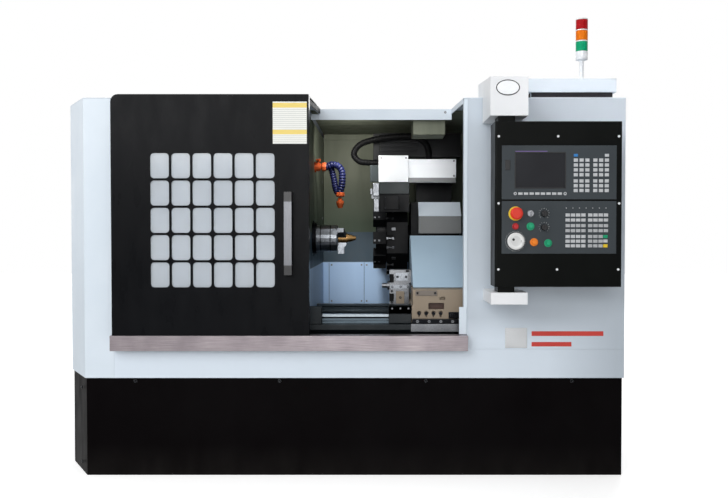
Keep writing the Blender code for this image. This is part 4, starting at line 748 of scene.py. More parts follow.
# The spindle's nose and the three-jaw chuck: ground steel, with a blackened groove round the body, cap
# screws in its face and in each stepped jaw, and a brass blank gripped for turning.
chuck_steel = machined("chuck_steel", (160, 164, 169), (104, 108, 114), 0.3, (60, 4, 4))
dress(chuck_steel, "chuck_body", "chuck_jaw_1", "chuck_jaw_2", "chuck_jaw_3", "x_screw")
brass = machined("turned_brass", (196, 158, 106), (140, 104, 62), 0.26, (80, 4, 4))
dress(brass, "workpiece")
spindle_y, spindle_z = -0.08, 0.905
chuck_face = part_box("chuck_body")[1][0]
chuck_radius = 0.0565
spindle_line = (0, spindle_y, spindle_z)
groove_floor, groove_rim, groove_width = chuck_radius - 0.002, chuck_radius + 0.0003, 0.004
bands = []
for x in (-0.098, -0.056):
    profile = [
        (groove_floor, x), (groove_rim, x), (groove_rim, x + groove_width),
        (groove_floor, x + groove_width),
    ]
    bands.append(turned(profile, spindle_line, RIGHT))
piece("chuck_grooves", several(bands), black_steel, "spindle", True)
profile = [
    (0.024, chuck_face), (0.024, chuck_face + 0.002), (0.034, chuck_face + 0.002), (0.036, chuck_face),
]
face_ring = turned(profile, spindle_line, RIGHT)
piece("chuck_face_ring", face_ring, chuck_steel, "spindle", True)
screw_circle, jaw_circle, jaw_face = 0.044, 0.058, 0.004
face_marks = circle((chuck_face + 0.0008, spindle_y, spindle_z), screw_circle, (-30, 90, 210))
screws("chuck_face_screws", face_marks, RIGHT, "spindle", 0.0048, 0.003)
for number, degrees in enumerate((-90, 30, 150), 1):
    spots = circle((jaw_face + 0.0003, spindle_y, spindle_z), jaw_circle, [degrees])
    screws(f"jaw_{number}_screw", spots, RIGHT, f"jaw_{number}", 0.0045, 0.0025, black_steel)


def moulded(name, colour, tint, roughness, gleam=0.5):
    """Moulded plastic: a fine even texture, with faint flow marks."""
    material, shader, place = new_surface(name, roughness)
    shader.inputs["Specular IOR Level"].default_value = gleam
    flow = cloud(place, 0.03, 4)
    normal = edges(shader, 0.0008)[1]
    paint = blended(scaled(flow, 0.3, 0.7), colour, tint)
    gloss = scaled(flow, 0.3, 0.7, roughness - 0.04, roughness + 0.06)
    wire(shader, paint, gloss, relief(0.12, 0.0002, cloud(place, 0.0012, 2), normal))
    return material


# The coolant line: an orange valve on the left wall feeds two strands of modular hose, blue plastic links
# snapped ball into socket, that end in an orange nozzle over the chuck.
orange = moulded("orange_plastic", (158, 66, 28), (170, 78, 36), 0.45, 0.2)
blue = moulded("blue_plastic", (11, 14, 42), (16, 20, 52), 0.42, 0.14)
dress(orange, "coolant_valve", "valve_lever", "coolant_nozzle")

# A tube along a path whose wall swells and narrows in even ribs.
tree, given = geometry_tree(
    "Ribbed tube", ["Steps", "Sides"], ["Tube radius", "Rib depth", "Rib pitch", "Rib roundness"],
)
route = add(tree, "GeometryNodeMeshToCurve", {"Mesh": given["Mesh"]})
route = add(tree, "GeometryNodeCurveSplineType", {"Curve": route}, spline_type="CATMULL_ROM")
route = add(tree, "GeometryNodeResampleCurve", {"Curve": route, "Count": given["Steps"]})
travel = add(tree, "GeometryNodeSplineParameter").outputs["Length"]
turns = maths("DIVIDE", travel, given["Rib pitch"])
wave = maths("ABSOLUTE", maths("SINE", maths("MULTIPLY", turns, math.pi)))
wave = maths("POWER", wave, given["Rib roundness"])
narrowed = maths("SUBTRACT", given["Tube radius"], given["Rib depth"])
swell = maths("MULTIPLY", wave, given["Rib depth"])
girth = maths("ADD", swell, narrowed)
section = add(tree, "GeometryNodeCurvePrimitiveCircle", {"Resolution": given["Sides"], "Radius": 1.0})
tube = add(
    tree, "GeometryNodeCurveToMesh",
    {"Curve": route, "Profile Curve": section, "Scale": girth, "Fill Caps": True},
)
tube_tree = close_tree(tree, given, tube, True)


def ribbed(name, points, radius, depth, pitch, finish, body, steps=260, roundness=0.6):
    path = bpy.data.meshes.new(name)
    path.from_pydata(points, [(n, n + 1) for n in range(len(points) - 1)], [])
    sizes = {
        "Steps": steps, "Tube radius": radius, "Rib depth": depth, "Rib pitch": pitch,
        "Rib roundness": roundness, "Sides": 18,
    }
    return grown(name, tube_tree, path, sizes, finish, body)


hose_z = 1.219
nozzle_x = -0.018
route = [
    (-0.0975, hose_z), (-0.09, hose_z), (-0.082, hose_z), (-0.07, 1.223), (-0.052, 1.229),
    (-0.026, 1.222), (-0.01, 1.199), (-0.008, 1.168), (-0.01, 1.139), (-0.014, 1.122), (nozzle_x, 1.106),
    (nozzle_x, 1.096), (nozzle_x, 1.0865),
]
hose_route = [(x, 0, z) for x, z in route]
hose = ribbed("modular_hose", hose_route, 0.0158, 0.0034, 0.0125, blue, "hose")
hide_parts("coolant_hose")
strand_route = [
    (-0.064, 0.01, 1.222), (-0.056, 0.018, 1.205), (-0.047, 0.02, 1.17), (-0.042, 0.018, 1.14),
    (-0.034, 0.012, 1.114), (-0.024, 0.004, 1.098),
]
ribbed("second_hose_strand", strand_route, 0.0145, 0.0032, 0.0115, blue, "hose", 160)
valve_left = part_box("coolant_valve")[0][0]
ring_of_bars(
    "valve_grips", [(valve_left + 0.01, 0, hose_z)], RIGHT, 12, 0.0175, (0.003, 0.004, 0.014), orange,
    "machine",
)

nut_profile = [(0.01, 0), (0.0185, 0), (0.0195, 0.002), (0.0195, 0.014), (0.0175, 0.018), (0.01, 0.018)]
nuts = [
    turned(nut_profile, (-0.0972, 0, hose_z), RIGHT, 8),
    turned(nut_profile, (nozzle_x, 0, 1.106), (0, 0, -1), 8),
]
piece("hose_nuts", several(nuts), orange, "hose")

# The carriage: an iron saddle, its upper faces in pale beige enamel, with bright keeper plates bolted
# under its front, an inset cover plate and lubrication pockets, and rubber wipers on the rails.
beige = coated(
    "beige_enamel", (146, 132, 114), (156, 142, 124), (96, 92, 88), 0.45, peel=0.6, radius=0.003,
    gleam=0.3,
)
dress(beige, "saddle", "cross_slide")
tool_steel = machined("tool_steel", (142, 144, 147), (88, 90, 94), 0.34, (40, 8, 8))
dress(tool_steel, "boring_tool", "turning_tool")
low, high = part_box("saddle")
saddle_front = low[1]
slabs(
    "keeper_plate", tool_steel, "carriage", "bright_steel",
    ((0.28, saddle_front - 0.032, 0.539), (0.56, saddle_front - 0.02, 0.57), 0.0012),
    ((0.286, saddle_front - 0.0205, 0.546), (0.56, saddle_front - 0.0005, 0.569), 0.001),
)
slabs(
    "keeper_riser", black_steel, "carriage", "dark_casting",
    ((0.286, saddle_front - 0.026, 0.5705), (0.56, saddle_front - 0.0005, 0.5885), 0.0015),
)
riser_bolts = [(x, saddle_front - 0.0265, 0.5795) for x in (0.306, 0.352, 0.398, 0.444, 0.49, 0.536)]
screws("keeper_bolts", riser_bolts, FRONT, "carriage", 0.0056, 0.005)
plate_beige = coated("plate_beige", (118, 110, 102), (126, 118, 110), (96, 92, 88), 0.5, gleam=0.3)
slabs(
    "saddle_cover_plate", plate_beige, "carriage", "casting_paint",
    ((0.299, saddle_front - 0.0035, 0.679), (0.385, saddle_front - 0.0003, 0.7), 0.001),
)
cover_marks = [(x, saddle_front - 0.004, 0.6895) for x in (0.307, 0.377)]
screws("cover_plate_screws", cover_marks, FRONT, "carriage", 0.0046, 0.003, black_steel)
pocket_back = saddle_front + 0.0165
brown = coated("primer_brown", (58, 34, 24), (70, 42, 30), (50, 36, 30), 0.6)
slabs(
    "saddle_recess_floor", brown, "carriage", "dark_casting",
    ((0.3515, pocket_back, 0.6255), (0.4125, pocket_back + 0.0014, 0.6495)),
)
pocket_marks = [(0.314 + 0.0285 * n, saddle_front + 0.004, 0.608) for n in range(4)]
screws("pocket_plugs", pocket_marks, FRONT, "carriage", 0.0068, 0.004, black_steel)
slabs(
    "lubricator_block", black_steel, "carriage", "dark_casting",
    ((0.43, saddle_front - 0.01, 0.59), (0.472, saddle_front - 0.0004, 0.615), 0.002),
    ((0.436, saddle_front - 0.018, 0.596), (0.452, saddle_front - 0.0098, 0.609), 0.002),
)
rail_low, rail_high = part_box("front_rail")
wiper_left, wiper_right = 0.1935, low[0] - 0.0005
wiper_front = saddle_front + 0.004
slabs(
    "way_wiper", bed_enamel, "carriage", "black_rubber",
    ((wiper_left, wiper_front, 0.569), (wiper_right, rail_low[1] - 0.003, 0.64), 0.002),
    ((wiper_left, wiper_front, rail_high[2] + 0.003), (wiper_right, rail_high[1] + 0.01, 0.64), 0.002),
)
wiper_marks = [(x, wiper_front - 0.0004, 0.628) for x in (0.207, 0.24, 0.272)]
screws("way_wiper_screws", wiper_marks, FRONT, "carriage", 0.0035, 0.003)

# The cross slide: a sloped sheet cover in pale blue-grey over the carriage, the iron turret housing with a
# folded guard before it, its front wall grey with painted shade, and two white covers over the turret's
# drive, on dark guard and side plates, with painted shade under them.
turret_black = coated("turret_black", (9, 10, 12), (13, 14, 16), (48, 50, 54), 0.45, gleam=0.1)
dress(turret_black, "turret_housing")
pale_cover = coated("pale_cover", (178, 204, 225), (186, 211, 230), (190, 198, 205), 0.42, gleam=0.3)
dress(pale_cover, "slide_cover")
white_cover = coated("white_cover", (216, 219, 222), (222, 224, 227), (186, 187, 190), 0.45)
dress(white_cover, "turret_cover")
guard_top = prism([(0.0885, 1.0668), (0.03, 1.003), (0.0315, 1.0015), (0.0895, 1.065)], "X", 0.332, 0.522)
piece("turret_guard_top", guard_top, body_coat, "cross_slide")
guard_wall = block((0.332, 0.03, 0.925), (0.522, 0.0325, 1.0022), 0.0005)
guard_cheek = prism([(0.031, 0.925), (0.089, 0.925), (0.089, 1.064), (0.031, 1.001)], "X", 0.332, 0.3345)
# Painted shade: the guard's front wall and the strip under the second white cover are grey, for pale sheet
# in shade.
painted_shade_guard = coated("guard_painted_shade", (104, 106, 106), (112, 114, 114), (146, 148, 148), 0.5)
piece("turret_guard_wall", several([guard_wall, guard_cheek]), painted_shade_guard, "cross_slide")
guard_dark = coated("guard_dark", (36, 42, 43), (42, 48, 49), (84, 88, 90), 0.5, gleam=0.2)
slabs(
    "cover_guard_plate", guard_dark, "cross_slide", "dark_casting",
    ((0.156, 0.008, 1.1), (0.29, 0.03, 1.1525), 0.002),
)
slabs(
    "switch_box", turret_black, "cross_slide", "dark_casting",
    ((0.156, 0.016, 1.02), (0.29, 0.03, 1.1), 0.002),
    ((0.166, 0.03, 1.06), (0.286, 0.2, 1.1525), 0.002),
    ((0.176, 0.008, 1.03), (0.244, 0.017, 1.093), 0.002),
)
switch_marks = [(x, 0.0076, z) for x in (0.182, 0.238) for z in (1.037, 1.086)]
screws("switch_box_screws", switch_marks, FRONT, "cross_slide", 0.0035, 0.0025, black_steel)
slabs(
    "sensor_blocks", tool_steel, "cross_slide", "bright_steel",
    ((0.126, 0.01, 1.09), (0.1558, 0.038, 1.15), 0.003),
    ((0.13, 0.008, 1.02), (0.1558, 0.034, 1.079), 0.003),
    ((0.115, 0.014, 1.098), (0.1262, 0.034, 1.124), 0.002),
)
slabs(
    "cable_clip", guard_dark, "cross_slide", "cover_paint",
    ((0.115, 0.02, 1.154), (0.1528, 0.032, 1.229), 0.002),
)
# Painted shade: a grey strip for the shade under the second white cover.
slabs(
    "cover_underside", painted_shade_guard, "cross_slide", "cover_paint",
    ((0.286, 0.005, 1.15), (0.495, 0.03, 1.1718), 0.001),
)
low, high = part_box("turret_housing")
# A black plate that stands for dark parts of the drive and for painted shade behind the housing.
slabs(
    "dark_drive_plate_and_shade", turret_black, "cross_slide", "dark_casting",
    ((low[0] - 0.032, 0.132, 1.262), (low[0] - 0.0005, 0.15, 1.384), 0.002),
)
low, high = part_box("turret_cover")
cover_screws = [
    (x, low[1] - 0.0004, z)
    for x, z in ((0.164, 1.259), (0.274, 1.259), (0.486, 1.246), (0.486, 1.18))
]
screws("turret_cover_screws", cover_screws, FRONT, "cross_slide", 0.0045, 0.003)

# The corrugated conduit that loops over from the first white cover to the turret's drive.
conduit_black = moulded("conduit_black", (6, 6, 7), (9, 9, 10), 0.5, 0.08)
conduit_y = 0.1
route = [
    (0.1527, 1.245), (0.143, 1.245), (0.133, 1.245), (0.103, 1.247), (0.063, 1.254), (0.04, 1.284),
    (0.056, 1.318), (0.092, 1.34), (0.16, 1.356), (0.25, 1.366), (0.32, 1.362), (0.366, 1.335),
    (0.38, 1.3), (0.382, 1.274), (0.382, 1.264), (0.382, 1.2543),
]
conduit_route = [(x, conduit_y, z) for x, z in route]
conduit = ribbed(
    "corrugated_conduit", conduit_route, 0.0145, 0.0018, 0.007, conduit_black, "cross_slide",
    900, 1.0,
)
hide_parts("conduit")

# The tool block on the cross slide: ground steel, with a clamp bar, dark slots, a beige plate low down and
# black cap screws.
block_face = -0.0998
slabs(
    "block_clamp", chuck_steel, "cross_slide", "bright_steel",
    ((0.202, -0.1034, 0.686), (0.2865, block_face, 0.704), 0.001),
    ((0.225, -0.1026, 0.72), (0.28, block_face, 0.756), 0.001),
)
slabs(
    "block_slots", turret_black, "cross_slide", "dark_casting",
    ((0.1996, -0.1012, 0.713), (0.218, block_face, 0.75), 0.0005),
    ((0.1996, -0.1012, 0.632), (0.218, block_face, 0.666), 0.0005),
    ((0.27, -0.1012, 0.759), (0.286, block_face, 0.767), 0.0005),
)
slabs(
    "block_lower_plate", beige, "cross_slide", "casting_paint",
    ((0.228, -0.102, 0.622), (0.264, block_face, 0.676), 0.001),
)
block_marks = [(x, -0.1036, 0.695) for x in (0.212, 0.248, 0.279)]
block_marks += [(x, -0.103, 0.738) for x in (0.234, 0.271)]
block_marks += [(0.21, -0.1005, 0.628), (0.21, -0.1005, 0.676), (0.246, -0.1022, 0.649)]
screws("block_screws", block_marks, FRONT, "cross_slide", 0.0052, 0.004, black_steel)

# The turret: an eight-sided disc of blackened steel, with small bright pins, seats and wedges at each
# station, and behind it a drum that carries a tool holder for each.
dress(turret_black, "turret_disc")
turret_y, turret_z = 0.25, 0.905
disc_left = 0.19
facet_radius = 0.1735


def at_stations(name, xs, radius, bar_sizes, finish, degrees=0):
    """A bar at each of the eight stations, round the turret's axis, at each x."""
    places = [(x, turret_y, turret_z) for x in xs]
    ring_of_bars(name, places, RIGHT, 8, radius, bar_sizes, finish, "turret", math.radians(degrees))


end_sizes = (0.007, 0.01, 0.008)
pin_parts = (
    ("pin", 0.205, (0.005, 0.004, 0.022)), ("seats", 0.1925, end_sizes), ("heads", 0.2185, end_sizes),
)
for number, degrees in enumerate((14.5, 0.7), 1):
    for part, x, bar_sizes in pin_parts:
        at_stations(
            f"station_{part}_{number}", [x], facet_radius, bar_sizes, tool_steel, degrees,
        )
at_stations(
    "station_wedges", [0.221], facet_radius, (0.009, 0.013, 0.018), tool_steel, -13,
)
drum_radius, drum_length = 0.106, 0.05
drum_profile = [
    (0, 0), (drum_radius, 0), (drum_radius, drum_length - 0.006), (0.101, drum_length), (0, drum_length),
]
drum = turned(drum_profile, (disc_left - 0.0002, turret_y, turret_z), (-1, 0, 0), 64)
piece("turret_drum", drum, turret_black, "turret", True)
at_stations("tool_holders", [0.157], 0.122, (0.046, 0.056, 0.06), turret_black)
at_stations("holder_screws", [0.135, 0.155], 0.1455, (0.004, 0.008, 0.008), tool_steel, 5)
drum_face, hub_circle = disc_left - 0.0505, 0.066
hub_marks = circle((drum_face, turret_y, turret_z), hub_circle, range(0, 360, 60))
screws("turret_hub_screws", hub_marks, (-1, 0, 0), "turret", 0.006, 0.005)

# The sliding door: sheet steel in glossy black powder coat, its top flange cut slanted at the end, with one
# sheet of polycarbonate behind its thirty openings, a satin pull handle between black mounts and a chart.
door_coat = coated("door_coat", (8, 9, 12), (12, 13, 16), (64, 66, 70), 0.3, radius=0.002, gleam=0.07)
dress(door_coat, "door_panel")
door_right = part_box("door_panel")[1][0]
flange_back, flange_wing = -0.2055, 0.0175
wing = [(door_right, FACE - 0.006), (door_right + flange_wing, flange_back), (door_right, flange_back)]
piece("flange_end", prism(wing, "Z", 1.4412, 1.4455), door_coat, "door")
pane, shader, place = new_surface("polycarbonate", 0.1)
dress(pane, "door_window")
shader.inputs["Transmission Weight"].default_value = 0.55
shader.inputs["IOR"].default_value = 1.5
film = cloud(place, 0.15, 5)
tint = blended(film, (222, 230, 238), (236, 242, 248))
wire(shader, tint, scaled(film, 0.3, 0.7, 0.06, 0.16))
bright = machined("satin_chrome", (150, 151, 154), (118, 120, 124), 0.3, (40, 40, 1))
dress(bright, "key_switch")
handle_finish, shader, place = new_surface("handle_and_mounts", 0.3)
height = along(place, "Z")
low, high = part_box("door_handle")
mount_height = 0.036
grip_top, grip_foot = high[2] - mount_height, low[2] + mount_height
above = scaled(height, grip_top - 0.0003, grip_top + 0.0003)
below = scaled(height, grip_foot - 0.0003, grip_foot + 0.0003, 1, 0)
is_mount = maths("MAXIMUM", above, below)
drawn_lines = cloud(place, 0.05, 8, (40, 40, 1))
metal = blended(drawn_lines, (112, 113, 117), (92, 94, 98))
gloss = scaled(drawn_lines, 0.3, 0.7, 0.26, 0.4)
wire(shader, blended(is_mount, metal, (22, 22, 24)), gloss, metal=scaled(is_mount, 0, 1, 1, 0))
dress(handle_finish, "door_handle")

skin_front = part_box("door_window")[0][1] - 0.0033
chart_left, chart_right, chart_low, chart_high = -0.2415, -0.1142, 1.2604, 1.4176
chart, shader, place = new_surface("chart_plate", 0.35)
height = along(place, "Z")
rule_pitch = 0.0075
ruled = maths("LESS_THAN", maths("FRACT", maths("DIVIDE", height, rule_pitch)), 0.12)
paper = cloud(place, 0.05, 3)
ground = blended(paper, (220, 222, 216), (230, 231, 226))
ground = blended(ruled, ground, (150, 152, 150))
for band_low, band_high in ((1.395, 1.413), (1.296, 1.313)):
    over = maths("GREATER_THAN", height, band_low)
    under = maths("LESS_THAN", height, band_high)
    inside = maths("MULTIPLY", over, under)
    ground = blended(inside, ground, (226, 200, 96))
wire(shader, ground, scaled(paper, 0.3, 0.7, 0.3, 0.42))
slabs(
    "door_chart_plate", chart, "door", "white_paint",
    (
        (chart_left, skin_front - 0.0012, chart_low), (chart_right, skin_front - 0.0002, chart_high),
        0.0003, 1,
    ),
)

# The operator's pendant: a black steel box hung on a white arm and bracket, its two grey panels held by
# domed screws, with a dark screen, grey key caps, buttons in chrome bezels and dials with plain ticks.
pendant_white = coated("pendant_white", (226, 229, 232), (232, 234, 237), (190, 190, 192), 0.42)
dress(pendant_white, "pendant_arm", "lower_bracket", "tower_base")
pendant_coat = coated(
    "pendant_coat", (9, 11, 10), (12, 14, 13), (60, 62, 66), 0.34, radius=0.002, gleam=0.05,
)
dress(pendant_coat, "pendant_box")
panel_grey = coated("panel_grey", (52, 58, 62), (57, 63, 67), (110, 116, 120), 0.5, gleam=0.2)
dress(panel_grey, "upper_panel", "lower_panel")
glass, shader, place = new_surface("screen_glass", 0.12)
shader.inputs["Specular IOR Level"].default_value = 0.25
film = cloud(place, 0.1, 3)
tint = blended(film, (18, 19, 24), (26, 28, 34))
wire(shader, tint, scaled(film, 0.3, 0.7, 0.08, 0.18))
dress(glass, "screen")
panel_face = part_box("upper_panel")[0][1]
box_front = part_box("pendant_box")[0][1]
dome_rows = ((1.268, (0.577, 0.786, 1.0)), (1.032, (0.577, 1.002)), (0.799, (0.577, 0.784, 1.0)))
dome_marks = [(x, box_front - 0.0006, z) for z, xs in dome_rows for x in xs]
screws("pendant_screws", dome_marks, FRONT, "pendant", 0.0043, 0.003, pendant_white)
(left, _, foot), (right, _, top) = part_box("screen")
bezel_width = 0.0035
outer_left, outer_right = left - bezel_width, right + bezel_width
outer_foot, outer_top = foot - bezel_width, top + bezel_width
bars = (
    (outer_left, outer_foot, outer_right, foot - 0.0001),
    (outer_left, top + 0.0001, outer_right, outer_top), (outer_left, foot, left - 0.0001, top),
    (right + 0.0001, foot, outer_right, top),
)
bezel = [
    ((x, panel_face - 0.0012, z), (to_x, panel_face - 0.0002, to_z), 0.0003, 1)
    for x, z, to_x, to_z in bars
]
black_plastic = moulded("black_plastic", (24, 24, 26), (32, 32, 34), 0.4, 0.3)
slabs("screen_bezel", black_plastic, "pendant", "black_paint", *bezel)
purple = moulded("purple_line", (118, 92, 160), (126, 100, 168), 0.4)
slabs(
    "panel_line", purple, "pendant", "panel_grey",
    ((0.6352, panel_face - 0.0006, 1.214), (0.748, panel_face - 0.0001, 1.216)),
)
slabs(
    "port_cover", black_plastic, "pendant", "black_paint",
    ((0.5995, panel_face - 0.0024, 1.149), (0.617, panel_face - 0.0002, 1.1847), 0.001),
)

# Key caps in even columns and rows, each with its front face drawn in to a chamfer.
tree, given = geometry_tree(
    "Key caps", ["Columns", "Rows"],
    ["Column pitch", "Row pitch", "Key width", "Key height", "Key depth", "Top share"],
)
row_step = triple(tree, z=given["Row pitch"])
column_step = triple(tree, given["Column pitch"])
row = add(tree, "GeometryNodeMeshLine", {"Count": given["Rows"], "Offset": row_step})
file = add(tree, "GeometryNodeMeshLine", {"Count": given["Columns"], "Offset": column_step})
key_size = triple(tree, given["Key width"], given["Key depth"], given["Key height"])
cap = add(tree, "GeometryNodeMeshCube", {"Size": key_size})
side = add(tree, "GeometryNodeInputNormal").outputs[0]
toward = along(side, "Y")
front = maths("LESS_THAN", toward, -0.5)
chamfered = add(
    tree, "GeometryNodeScaleElements",
    {"Geometry": cap.outputs["Mesh"], "Selection": front, "Scale": given["Top share"]},
)
one_row = copies(file, chamfered)
block_of_keys = copies(row, one_row)
banks = copies(given["Mesh"], block_of_keys)
key_tree = close_tree(tree, given, banks)


def keys(name, xs, z, columns, rows, pitch, cap_sizes, finish, sunk=0.0):
    """Blocks of keys whose lower left key stands at each x and at z. The pitch is across and up."""
    sizes = {
        "Columns": columns, "Rows": rows, "Column pitch": pitch[0], "Row pitch": pitch[1],
        "Key width": cap_sizes[0], "Key height": cap_sizes[1], "Key depth": 0.0018, "Top share": 0.84,
    }
    corners = [(x, key_y + sunk, z) for x in xs]
    grown(name, key_tree, marks(corners, FRONT), sizes, finish, "pendant")


key_y = panel_face - 0.001
key_grey = moulded("key_grey", (168, 171, 174), (178, 180, 183), 0.5, 0.3)
key_pale = moulded("key_pale", (186, 189, 192), (196, 198, 201), 0.5, 0.3)
key_blue = moulded("key_blue", (40, 112, 176), (50, 122, 186), 0.45, 0.3)
keys("soft_keys", [0.6534], 1.0663, 8, 1, (0.0198, 0.0), (0.0155, 0.009), key_pale)
upper_caps = (0.0148, 0.012)
keys("upper_letter_keys", [0.8479, 0.9166], 1.1326, 3, 4, (0.0203, 0.0171), upper_caps, key_pale)
keys("upper_number_keys", [0.8479, 0.9166], 1.0772, 3, 3, (0.0203, 0.0168), upper_caps, key_pale)
keys("blue_key", [0.8479], 1.2009, 1, 1, (0.02, 0.0), (0.0148, 0.01), key_blue)
keys("white_key", [0.9571], 1.2009, 1, 1, (0.02, 0.0), (0.0148, 0.01), key_pale)
lower_caps = (0.0158, 0.0115)
keys("lower_top_keys", [0.8204, 0.8997], 0.9733, 4, 2, (0.0184, 0.0176), lower_caps, key_pale)
keys("lower_middle_keys", [0.8204, 0.8997], 0.9359, 4, 2, (0.0184, 0.0177), lower_caps, key_grey)
keys("lower_bottom_keys", [0.8204], 0.8824, 4, 3, (0.0184, 0.0164), lower_caps, key_pale)
keys("lower_last_keys", [0.8997], 0.8824, 3, 3, (0.0184, 0.0164), lower_caps, key_grey)

red = moulded("red_plastic", (176, 24, 30), (188, 36, 40), 0.32, 0.3)
green = moulded("green_plastic", (10, 150, 104), (22, 160, 114), 0.32, 0.3)
amber = moulded("amber_plastic", (232, 124, 24), (238, 134, 34), 0.32, 0.3)
yellow = moulded("yellow_plastic", (226, 190, 40), (232, 198, 52), 0.36, 0.3)
white_plastic = moulded("white_plastic", (222, 223, 222), (230, 231, 230), 0.4, 0.3)
dress(red, "red_button")
stop_red = moulded("stop_red", (208, 44, 26), (216, 54, 34), 0.34, 0.3)
dress(stop_red, "emergency_stop")
dress(green, "green_button", "coolant_button")
dress(amber, "orange_button")
dress(black_plastic, "feed_knob", "speed_knob")
wheel_finish, shader, place = new_surface("handwheel_white", 0.4)
shader.inputs["Specular IOR Level"].default_value = 0.3
flow = cloud(place, 0.03, 4)
wheel_x, _, wheel_z = halfway(*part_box("handwheel"))
finger_hole = (wheel_x - 0.009, 0, wheel_z + 0.0055)
tree = place.id_data
flat = add(tree, "ShaderNodeVectorMath", {0: place, 1: (1, 0, 1)}, operation="MULTIPLY").outputs[0]
away = add(tree, "ShaderNodeVectorMath", {0: flat, 1: finger_hole}, operation="DISTANCE").outputs["Value"]
span = add(
    tree, "ShaderNodeVectorMath", {0: flat, 1: (wheel_x, 0, wheel_z)}, operation="DISTANCE",
).outputs["Value"]
wheel_paint_and_shade = blended(scaled(flow, 0.3, 0.7), (218, 219, 218), (228, 229, 228))
# Painted shade: the wheel's dished middle is a quarter darker, and the finger hole is a dark spot painted
# in place of a cut hole.
wheel_paint_and_shade = blended(scaled(span, 0.0175, 0.018, 0.25, 0), wheel_paint_and_shade, (150, 152, 154))
wheel_paint_and_shade = blended(scaled(away, 0.0044, 0.0048, 1, 0), wheel_paint_and_shade, (30, 30, 32))
wire(shader, wheel_paint_and_shade)
dress(wheel_finish, "handwheel")
keys("green_key", [0.9536], 0.9151, 1, 1, (0.02, 0.0), lower_caps, green)
keys("yellow_key", [0.9536], 0.8824, 1, 1, (0.02, 0.0), lower_caps, yellow)
keys("last_white_key", [0.9536], 0.8993, 1, 1, (0.02, 0.0), lower_caps, key_pale)
keys("signal_lights", [0.815], 1.0156, 7, 1, (0.0233, 0.0), (0.0034, 0.0034), key_grey, 0.0004)


def collar(x, z, inner, outer, depth, face):
    """A round collar with a rounded front edge, standing on a panel's face."""
    soft = min(depth, outer - inner) * 0.35
    profile = [(inner, 0), (outer, 0), (outer, depth - soft), (outer - soft, depth), (inner, depth)]
    return turned(profile, (x, face, z), FRONT, 32)


low_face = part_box("lower_panel")[0][1]
button_rings = (
    ("red_button", 0.0024, red, "red_plastic"), ("green_button", 0.0048, green, "green_plastic"),
    ("orange_button", 0.0052, amber, "orange_plastic"),
    ("coolant_button", 0.0048, green, "green_plastic"),
)
clearance, seat_hole, seat_depth = 0.0005, 0.0072, 0.0006
for name, width, finish, slot_name in button_rings:
    low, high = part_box(name)
    x, _, z = halfway(low, high)
    inner = (high[0] - low[0]) / 2 + clearance
    outer = inner + width
    seat_profile = [(seat_hole, 0), (outer, 0), (outer, seat_depth), (seat_hole, seat_depth)]
    seat = turned(seat_profile, (x, low_face - 0.0001, z), FRONT, 32)
    rim = collar(x, z, inner, outer, 0.003, low_face - 0.0005)
    piece(name + "_ring", several([seat, rim]), finish, "pendant", True)
top_row_z, stop_x = 0.996, 0.6365
bezel_metal = machined("bezel_metal", (92, 94, 97), (70, 72, 75), 0.4, (40, 40, 40))
key_collar = collar(0.689, top_row_z, 0.0098, 0.0128, 0.0016, low_face - 0.0001)
piece("key_switch_collar", key_collar, bezel_metal, "pendant", True)
soft_ends = [collar(x, 1.0663, 0.0026, 0.0056, 0.0014, panel_face - 0.0001) for x in (0.635, 0.8106)]
piece("round_soft_keys", several(soft_ends), key_pale, "pendant", True)
stop_ring = collar(stop_x, top_row_z, 0.012, 0.025, 0.003, low_face - 0.0001)
piece("stop_ring", stop_ring, yellow, "pendant", True)
dial_marks = [(0.737, low_face - 0.0003, z) for z in (top_row_z, 0.9475)]
ring_of_bars(
    "dial_ticks", dial_marks, FRONT, 11, 0.0175, (0.0035, 0.0008, 0.0005), white_plastic, "pendant",
    math.radians(-45), math.radians(27),
)
ring_of_bars(
    "handwheel_ticks", [(stop_x, low_face - 0.0003, 0.899)], FRONT, 50, 0.0345, (0.0035, 0.0006, 0.0005),
    white_plastic, "pendant",
)
arm_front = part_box("pendant_arm")[0][1]
oval_x, oval_z, oval_sides = 0.6088, 1.439, 48


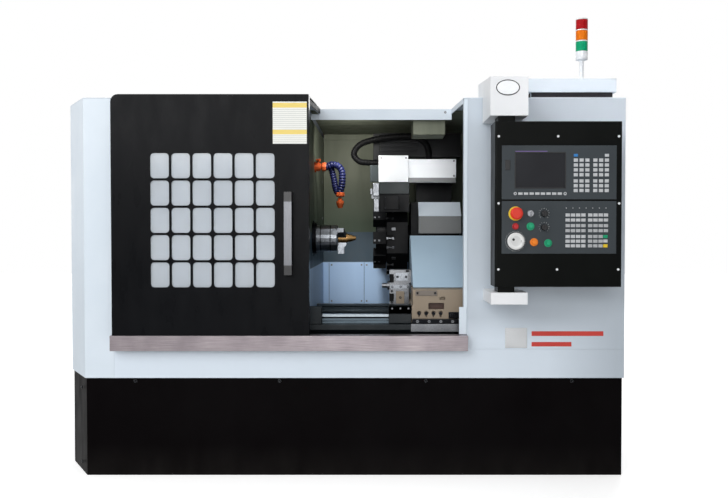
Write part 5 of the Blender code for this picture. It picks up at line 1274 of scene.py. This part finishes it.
def oval_plate(half_height, half_width, proud):
    """An oval plate 1 mm thick whose front stands proud of the arm's face."""
    turn = [2 * math.pi * step / oval_sides for step in range(oval_sides)]
    outline = [(oval_z + half_height * math.sin(a), oval_x + half_width * math.cos(a)) for a in turn]
    return prism(outline, "Y", arm_front - proud, arm_front - proud + 0.001)


piece("arm_plate_rim", oval_plate(0.028, 0.042, 0.0012), black_plastic, "machine")
piece("arm_plate", oval_plate(0.0245, 0.0385, 0.0018), badge_finish, "machine")

# The signal tower: three ribbed lenses, red over amber over green, each with a pale band above it, on a
# pale foot and a thin pole screwed to the hood.
tower_x, tower_y = 1.0094, -0.155
tower_axis = (tower_x, tower_y, 0)
lens_radius, sleeve_inner, lens_sides = 0.025, 0.02, 40
ribs, rib_depth, band_height, chamfer = 9, 0.0016, 0.0055, 0.0012
lens_colours = {
    "red": ((168, 12, 20), (178, 20, 28)), "amber": ((226, 112, 8), (232, 122, 16)),
    "green": ((2, 150, 104), (10, 160, 112)),
}
for colour, (first, second) in lens_colours.items():
    lens = "lens_" + colour
    finish = moulded(lens, first, second, 0.4, 0.12)
    dress(finish, lens)
    low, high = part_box(lens)
    foot, top, band_foot = low[2] + 0.0003, high[2] - 0.0001, high[2] - band_height
    rib_height = (band_foot - low[2]) / ribs
    profile = [(sleeve_inner, foot)]
    for n in range(ribs):
        bottom = foot + rib_height * n
        profile += [(lens_radius - rib_depth, bottom), (lens_radius - 0.0001, bottom + rib_height / 2)]
    profile += [(lens_radius - rib_depth, band_foot), (sleeve_inner, band_foot)]
    sleeve = turned(profile, tower_axis, UP, lens_sides)
    piece(lens + "_sleeve", sleeve, finish, "machine", True)
    outer = lens_radius - 0.0001
    profile = [
        (0, band_foot), (outer, band_foot), (outer, high[2] - chamfer), (outer - chamfer, top), (0, top),
    ]
    piece(
        lens + "_band", turned(profile, tower_axis, UP, lens_sides), white_plastic, "machine",
        True,
    )
foot_top, foot_circle = 1.5225, 0.027
foot_marks = circle((tower_x, tower_y, foot_top), foot_circle, (45, 135, 225, 315), (0, 1))
screws("tower_foot_screws", foot_marks, UP, "machine", 0.0042, 0.003)
